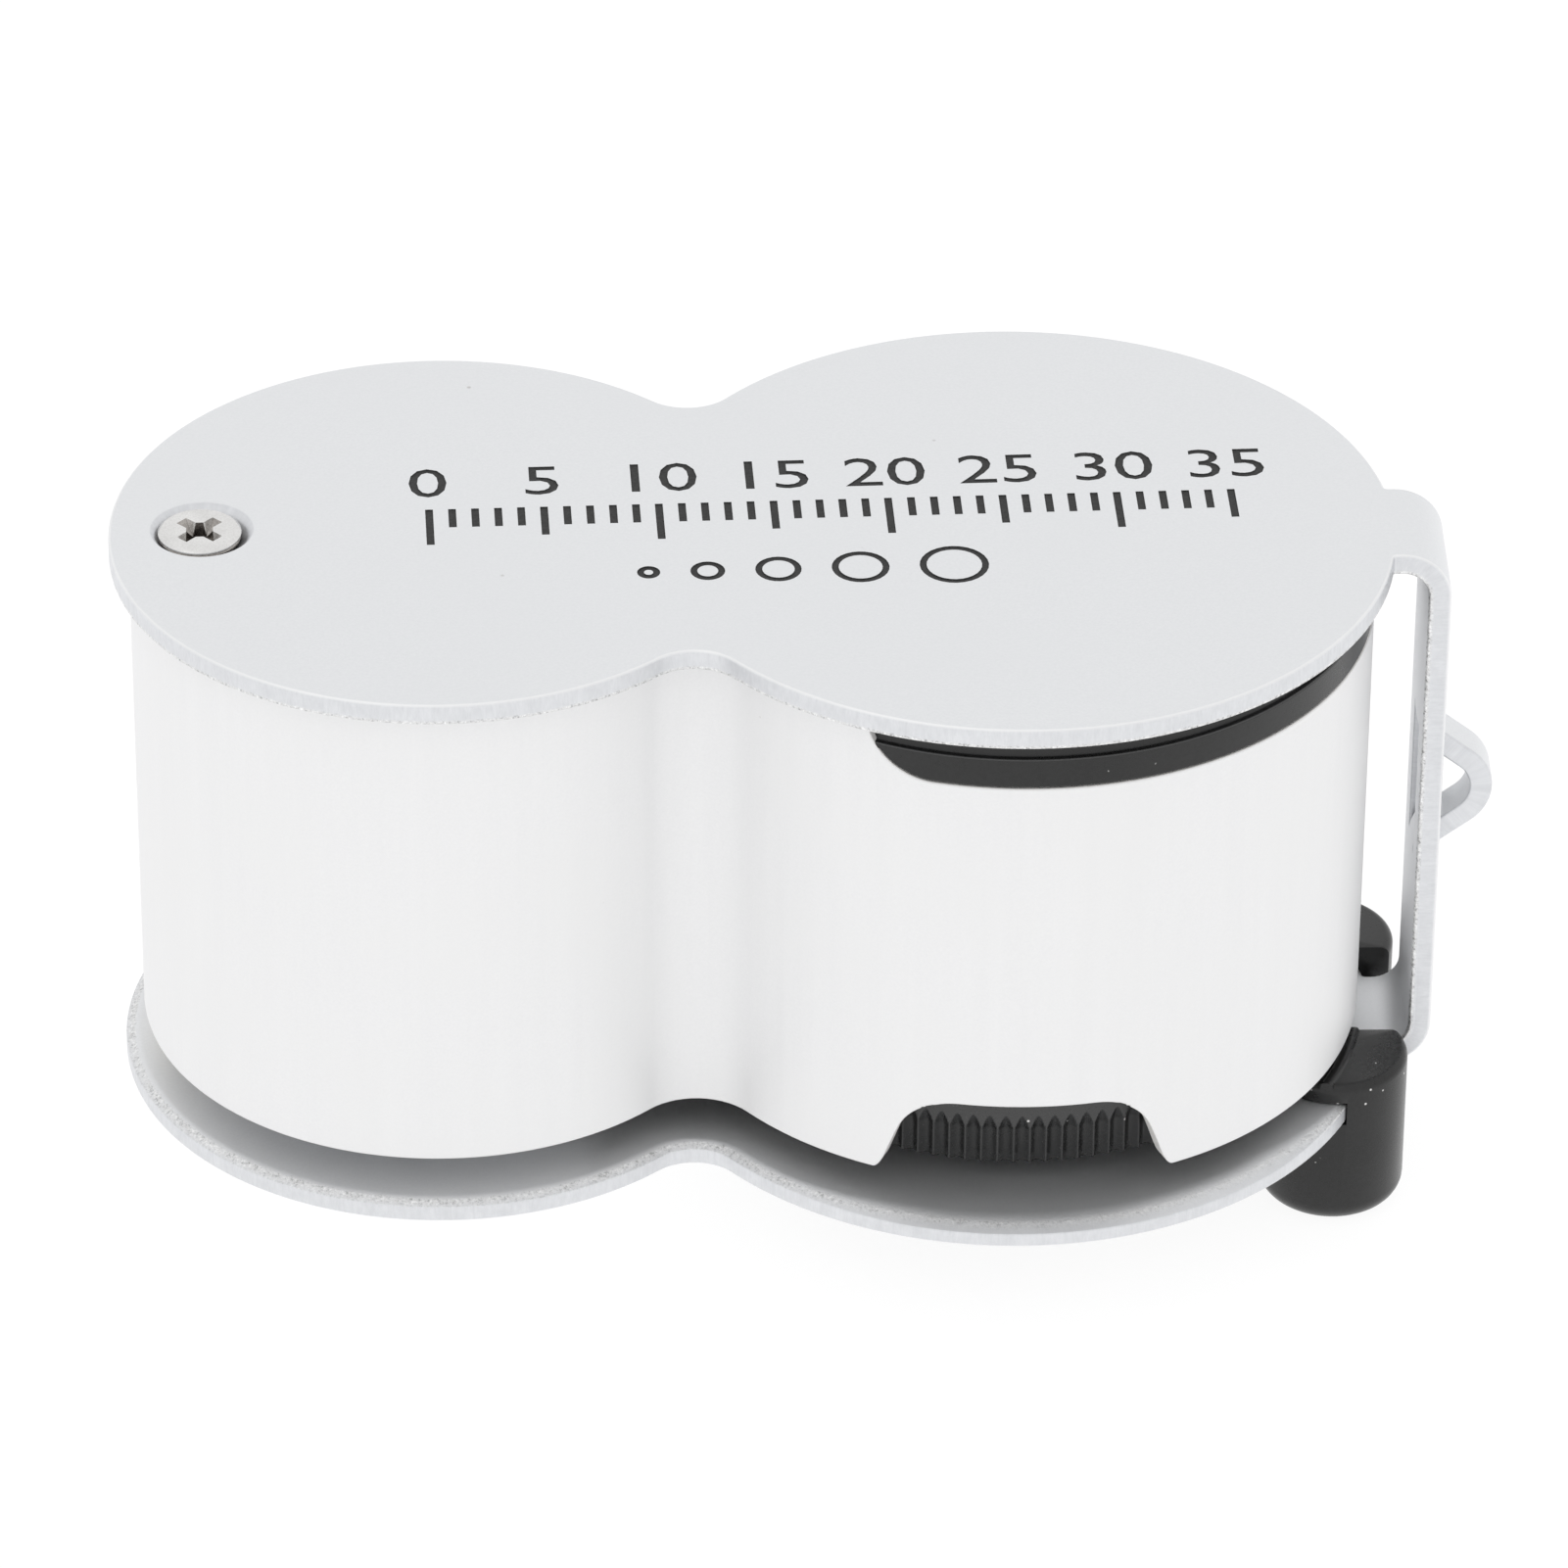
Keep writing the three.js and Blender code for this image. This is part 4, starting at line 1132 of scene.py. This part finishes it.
def cap_band():
    """The cap's rim that fills the cut-out in the shell: a flush band, then a step inwards."""
    outline = [(p, n) for p, n in figure_eight(grown(SHELL, -0.05), 2.0) if p.x > RIM_CUT["x"] + 0.05]
    start = next(i for i, (p, _) in enumerate(outline) if p.y < 0)
    outline = outline[start:] + outline[:start]
    shape = Shape()
    rows = []
    r = RIM_CUT["radius"] - 0.05
    corner = RIM_CUT["x"] + 0.05 + r
    for p, n in outline:
        low = RIM_CUT["z"] + 0.05
        if p.x < corner:
            low = min(CAP_STEP_Z - 0.3, low + r - sqrt(max(0.0, r * r - (corner - p.x) ** 2)))
        corners = [
            (-1.6, low, 0.02),
            (0.0, low, 0.08),
            (0.0, CAP_STEP_Z, 0.10),
            (-0.28, CAP_STEP_Z + 0.02, 0.10),
            (-0.45, CAP_TOP, 0.12),
            (-1.6, CAP_TOP, 0.02),
        ]
        row = []
        for q, m, mark in rounded(corners):
            # Round corners keep a weaker edge mark, which the black look paints lighter: a painted highlight.
            place = (p.x + n.x * q.x, p.y + n.y * q.x, q.y)
            row.append(shape.point(place, (n.x * m.x, n.y * m.x, m.y), mark * 0.8))
        rows.append(row)
    shape.rows(rows)
    shape.face(*rows[0])
    shape.face(*rows[-1])
    return shape


def top_cap():
    well = [
        (0.11, CAP_TOP, 0.0, 1.0),
        (0.09, CAP_TOP - 0.01, 0.4, 0.9),
        (0.01, CAP_TOP - 0.10, 0.7, 0.7),
        (0.0, CAP_TOP - 0.12, 1.0, 0.0),
        (0.0, CAP_BOTTOM + 0.05, 1.0, 0.0),
        (0.03, CAP_BOTTOM, 0.0, -1.0),
    ]
    sink = [
        (0.23, CAP_TOP, 0.0, 1.0),
        (0.21, CAP_TOP - 0.02, 0.8, 0.6),
        (0.19, CAP_TOP - 0.45, 1.0, 0.0),
        (0.0, CAP_TOP - 0.7, 0.7, 0.7),
        (0.0, CAP_BOTTOM + 0.05, 1.0, 0.0),
        (0.03, CAP_BOTTOM, 0.0, -1.0),
    ]
    plain = edge_wall(CAP_TOP, CAP_BOTTOM, 0.12, 0.05, 3)
    loops = [
        (figure_eight(grown(SHELL, -1.1)), plain),
        (circle(0, 0, 12.1, 128), well),
        (circle(BATTERY_X, 0, 6.9, 96), plain),
        (circle(PIVOT_X - BODY_X, 0, 1.66, 40), plain),
    ]
    loops += [(circle(x, y, 0.8, 32), sink) for x, y in CASE_SCREWS]
    shape = slab(loops).add(cap_band())
    piece("cap_moulding", shape, "lens_body", (BLACK,), "black_plastic", "top_cap")


def case_screw(index, x, y):
    """A small screw with a cross recess that holds the cap; each is turned another way."""
    top, foot = CAP_TOP - 0.1, 17.0
    head = [(0.0, top), (0.95, top, 0.1), (0.95, top - 0.3, 0.04)]
    corners = head + [(0.7, top - 0.6), (0.7, foot, 0.1), (0.0, foot)]
    screw = raw(f"screw_{index}", lathe(corners, (x, y), 48, closed=False), BODY_X)
    cutters = []
    for k in range(2):
        arm = block(x - 0.56, x + 0.56, y - 0.15, y + 0.15, top - 0.42, top + 0.3, 0.04)
        cutters.append(raw("arm", turned_about(arm, radians(20 + 31 * index + 90 * k), x, y), BODY_X))
    carve(screw, *cutters)
    finished(screw, 0.015)
    settle(screw, "lens_body", (NICKEL,), "nickel_plate", f"case_screw_{index}")


def focus_ring():
    """Flutes that run out in pointed tops, over the ring's bore, sleeve and bead."""
    flutes, per, radius, depth = 118, 10, 13.3, 0.24
    low, high, fade_top, fade = 2.2, 6.1, 4.75, 0.75
    shape = Shape()
    rows = []

    def radius_at(i, z):
        across = abs((i % per) / per - 0.5) * 2
        groove = max(0.0, (1 - across ** 1.6 * 1.05))
        full = max(0.0, min(1.0, (fade_top - z) / fade))
        return radius - depth * min(groove, max(0.0, groove - (1 - full)))

    stations = [low + 0.10, low + 0.18, 3.0, 3.9] + [4.0 + 0.05 * k for k in range(17)] + [5.2, high - 0.1]
    count = flutes * per

    def ring_row(base, z, normal=None, mark=0.0, fluted=True):
        row = []
        for i in range(count):
            a = TAU * i / count
            r = (radius_at(i, z) if fluted else radius) + base
            n = normal
            if n is None:
                slope = (radius_at(i + 1, z) - radius_at(i - 1, z)) / (2 * radius * TAU / count)
                rise = (radius_at(i, z + 0.03) - radius_at(i, z - 0.03)) / 0.06
                direction = Vector((1.0, -slope, -rise)).normalized()
            else:
                direction = Vector((normal[0], 0.0, normal[1]))
            c, s = cos(a), sin(a)
            world = (c * direction.x - s * direction.y, s * direction.x + c * direction.y, direction.z)
            # Flute crests and the ring's top get the edge mark, which the black look paints lighter: a
            # painted highlight.
            crest = 1.0 - min(1.0, (radius - radius_at(i, z)) / depth * 3)
            row.append(shape.point((r * c, r * s, z), world, crest * 0.75 if normal is None else mark))
        return row

    rows.append(ring_row(-0.16, low, (0.0, -1.0)))
    rows.append(ring_row(-0.05, low + 0.03, (0.5, -0.85)))
    rows += [ring_row(0.0, z) for z in stations]
    rows.append(ring_row(-0.1, high, (0.0, 1.0), 0.5, False))
    upper = [
        (12.65, high, 0.0, 1.0),
        (12.62, high + 0.02, 1.0, 0.0),
        (12.65, 12.0, 0.7, 0.7),
        (12.1, 12.0, -0.7, 0.7),
        (12.03, 6.62, -1.0, 0.0),
        (11.4, 6.6, 0.0, 1.0),
        (11.3, 6.5, -0.7, 0.7),
        (11.3, 2.6, -1.0, 0.0),
        (11.55, 2.25, -0.7, -0.7),
        (11.75, 2.2, 0.0, -1.0),
    ]
    rows += [shape.ring(*corner, count) for corner in upper]
    shape.rows(rows, closed=True)
    shape.add(band(12.6, 13.0, 10.7, 11.3))
    piece("knurled_ring", shape, "focus_ring", (BLACK,), "black_plastic", "focus_ring")


def lens_parts():
    cell = lathe([
        (10.1, 7.0, 0.15), (11.95, 7.0, 0.2), (11.95, 22.0, 0.2), (11.55, 22.0, 0.06), (11.5, 21.55, 0.05),
        (11.03, 21.3, 0.06), (11.03, 9.0), (10.1, 9.0),
    ], segments=128)
    for side in (-1, 1):
        cell.add(block(-0.6, 0.6, *sorted((side * 11.8, side * 12.6)), 13.0, 20.5))
    piece("cell_tube", cell, "lens_unit", (BLACK,), "black_plastic", "lens_cell")
    spacer = band(10.2, LENS_RADIUS, 11.3, 13.9)
    piece("spacer_tube", spacer, "lens_unit", (MATT_BLACK,), "black_plastic", "lens_spacer")
    for name, node, z0, rim, low, high in (
        ("field_glass", "field_lens", 9.05, 2.2, 1.2, 1.4),
        ("eye_glass", "eye_lens", 13.95, 4.2, 0.0, 1.9),
    ):
        dome, steps, z1 = 10.0, 14, z0 + rim
        corners = [(dome * k / steps, z0 - low * (1 - (k / steps) ** 2)) for k in range(steps + 1)]
        corners += [(LENS_RADIUS, z0), (LENS_RADIUS, z1)]
        corners += [(dome * k / steps, z1 + high * (1 - (k / steps) ** 2)) for k in range(steps, -1, -1)]
        piece(name, smooth_lathe(corners), "lens_unit", (GLASS,), "lens_glass", node)
    lock = raw("lock_ring", lathe([
        (10.1, 18.2), (LENS_RADIUS, 18.2), (LENS_RADIUS, 19.6, 0.1), (10.45, 19.6, 0.1), (10.1, 19.2, 0.05),
    ], segments=128), BODY_X)
    carve(lock, raw("slot", block(-0.6, 0.6, -12, 12, 18.9, 21), BODY_X))
    finished(lock, 0.03)
    settle(lock, "lens_unit", (MATT_BLACK,), "black_plastic", "retaining_ring")


def smooth_lathe(corners):
    """A turned solid whose profile is shaded as one curve."""
    profile = []
    for i, corner in enumerate(corners):
        before, after = corners[max(i - 1, 0)], corners[min(i + 1, len(corners) - 1)]
        d = Vector((after[0] - before[0], after[1] - before[1])).normalized()
        profile.append((Vector(corner), Vector((d.y, -d.x)), 0.0))
    return turned(profile, segments=128, closed=False)


def battery_lid():
    corners = [
        (0.0, 21.9), (5.85, 21.9, 0.2), (5.85, 23.3), (6.82, 23.3, 0.1), (6.82, 25.3, 0.3), (6.0, 25.3, 0.05),
        (5.85, 25.15, 0.05), (0.0, 25.15),
    ]
    lid = raw("coin_lid", lathe(corners, (BATTERY_X, 0), 128, closed=False), BODY_X)
    slot = block(BATTERY_X - 0.7, BATTERY_X + 0.7, -4.4, 4.4, 24.4, 26, 0.08)
    ridge = []
    for k in range(48):
        a = TAU * k / 48
        x, y = BATTERY_X + 6.86 * cos(a), 6.86 * sin(a)
        ridge.append(drum(0.14, 24.6, 25.6, (x, y), 10, BODY_X))
    carve(lid, raw("slot", slot, BODY_X))
    carve(lid, *ridge)
    finished(lid, 0.03)
    settle(lid, "battery_lid", (BLACK,), "black_plastic", "battery_lid")


def light_switch():
    y = 1.0
    knob = raw("switch_knob", block(13.3, 14.9, y - 2.0, y + 2.0, 23.3, 24.8), BODY_X)
    carve(knob, raw("knob", block(14.7, 15.95, y - 1.1, y + 1.1, 23.95, 24.57), BODY_X), how="UNION")
    grooves = [block(15.8, 16.4, y + t - 0.1, y + t + 0.1, 23.0, 25.0) for t in (-0.66, -0.22, 0.22, 0.66)]
    carve(knob, *[raw("groove", groove, BODY_X) for groove in grooves])
    finished(knob, 0.06)
    settle(knob, "light_switch", (BLACK,), "black_plastic", "light_switch")


# ---------------------------------------------------------------- scale base

def scale_base():
    lug_x, lug_y, lug_r, lug_top, foot = LUG["x"], LUG["y"], LUG["radius"], LUG["top"], LUG["foot"]
    body = raw("base_moulding", lathe([
        (9.2, -0.1), (9.2, -1.2), (10.4, -1.2), (10.4, -2.6), (12.4, -2.6, 0.25), (12.4, -0.1, 0.15),
    ], segments=128))
    web = raw("web", block(9, lug_x, -lug_y, lug_y, -2.6, -0.1))
    carve(web, drum(10.8, -4.0, 1.0, segments=128))
    carve(body, web, how="UNION")
    for side in (-1, 1):
        at = (lug_x, side * lug_y + LUG["offset"])
        peg = raw("peg", lathe([
            (0.0, foot), (lug_r, foot, 1.1), (lug_r, lug_top, 0.4), (0.0, lug_top),
        ], at, closed=False, steps=8))
        carve(peg, drum(14.6, SHEET, 5.0, segments=192), raw("gap", block(0, 30, *LUG_GAP, -0.11, 5)))
        lip = raw("lip", lathe([
            (15.35, 1.5, 0.02), (16.05, 1.5, 0.02), (15.90, 2.1, 0.2), (15.40, 2.1, 0.2),
        ], segments=256))
        carve(lip, drum(3.2, 0.0, 4.0, at), how="INTERSECT")
        carve(lip, raw("gap", block(0, 30, *LUG_GAP, -0.11, 5)))
        carve(peg, lip, how="UNION")
        carve(body, peg, how="UNION")
    gap = 0.08
    outline = figure_eight(grown(PLATE, gap))
    cutter = slab([(outline, [(0.0, SHEET + gap, 1.0, 0.0), (0.0, -gap, 1.0, 0.0)])])
    carve(body, raw("plate_slot", cutter))
    finished(body, 0.05)
    settle(body, "scale_base", (BLACK,), "black_plastic", "scale_base")


def reticle_marks():
    """A ruled cross in half millimetres and a circle, printed on the reticle disc's underside."""
    low, high, reach = -2.125, -2.1, 16
    marks = band(8.55, 8.65, low, high, segments=128, radius=0.005)
    marks.add(block(-reach / 2, reach / 2, -0.03, 0.03, low, high))
    marks.add(block(-0.03, 0.03, -reach / 2, reach / 2, low, high))
    for k in range(-reach, reach + 1):
        at = 0.5 * k
        half = 0.9 if k % 10 == 0 else 0.55 if k % 2 == 0 else 0.3
        marks.add(block(at - 0.025, at + 0.025, -half, half, low, high))
        marks.add(block(-half, half, at - 0.025, at + 0.025, low, high))
    drawn = finished(raw("reticle_marks", marks))
    settle(drawn, "scale_base", (INK,), "clear_acrylic")


# ---------------------------------------------------------------- CAD pieces that keep their shape

KEPT = {
    "pivot_sleeve": BRASS,
    "friction_washer": NYLON,
    "spacer_bush": NYLON,
    "inner_core": MATT_BLACK,
    "button_cell_1": STEEL,
    "button_cell_2": STEEL,
    "button_cell_3": STEEL,
    "contact_plate": BRASS,
    "contact_spring": NICKEL,
    "led_board": BOARD,
    "led_front": EPOXY,
    "led_back": EPOXY,
    "switch_contact": BRASS,
    "reticle_disc": ACRYLIC,
    "reticle_ring": BLACK,
}


def keep_nodes():
    for name, material in KEPT.items():
        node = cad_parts[name]
        node.data.materials.clear()
        node.data.materials.append(material)


cover()
pivot_screw("screw_over", "pivot_screw_top", HEIGHT, 1)
pivot_screw("screw_under", "pivot_screw_bottom", 0.0, -1)
body_shell()
shell_floor()
top_cap()
for number, (screw_x, screw_y) in enumerate(CASE_SCREWS, 1):
    case_screw(number, screw_x, screw_y)
focus_ring()
lens_parts()
battery_lid()
light_switch()
scale_base()
reticle_marks()
keep_nodes()


# ---------------------------------------------------------------- studio

def camera():
    azimuth, elevation, roll = radians(-1.4766), radians(33.256), radians(0.40)
    distance = 0.434106
    target = ORIGIN + MM * Vector((-9.985, 0.0, 13.383))
    back = Vector((
        sin(azimuth) * cos(elevation),
        -cos(azimuth) * cos(elevation),
        sin(elevation),
    ))
    side = Vector((0, 0, 1)).cross(back).normalized()
    up = back.cross(side)
    x = side * cos(roll) + up * sin(roll)
    y = -side * sin(roll) + up * cos(roll)
    data = bpy.data.cameras.new("camera")
    data.lens = 225.8
    data.sensor_width = 36.0
    data.clip_start = 0.01
    obj = added("camera", data)
    place = target + back * distance
    obj.matrix_world = Matrix((
        (x.x, y.x, back.x, place.x),
        (x.y, y.y, back.y, place.y),
        (x.z, y.z, back.z, place.z),
        (0, 0, 0, 1),
    ))
    bpy.context.scene.camera = obj


def lamp(name, place, aim, size, power):
    data = bpy.data.lights.new(name, "AREA")
    data.shape = "RECTANGLE"
    data.size, data.size_y = size
    data.energy = power
    obj = added(name, data)
    obj.location = place
    obj.rotation_euler = (Vector(aim) - Vector(place)).to_track_quat("-Z", "Y").to_euler()
    obj.visible_camera = False


def studio():
    bpy.context.scene.view_settings.view_transform = "Standard"
    world = bpy.data.worlds.new("studio")
    bpy.context.scene.world = world
    world.use_nodes = True
    background = world.node_tree.nodes["Background"]
    background.inputs["Color"].default_value = (1.0, 1.0, 1.0, 1)
    background.inputs["Strength"].default_value = 0.94
    floor = Look("floor", roughness=0.9, emission=(1, 1, 1, 1), glow=0.92)
    floor.set(base=floor.between(floor.noise(120.0, 2.0), 0.10, 0.115))
    mesh = bpy.data.meshes.new("floor")
    mesh.from_pydata([(-3, -3, 0), (3, -3, 0), (3, 3, 0), (-3, 3, 0)], [], [(0, 1, 2, 3)])
    mesh.materials.append(floor.material)
    obj = added("floor", mesh)
    obj.location.z = -0.00005
    lamp("key", (-0.25, -0.35, 0.55), (0, 0, 0.015), (0.5, 0.5), 0.15)


camera()
studio()
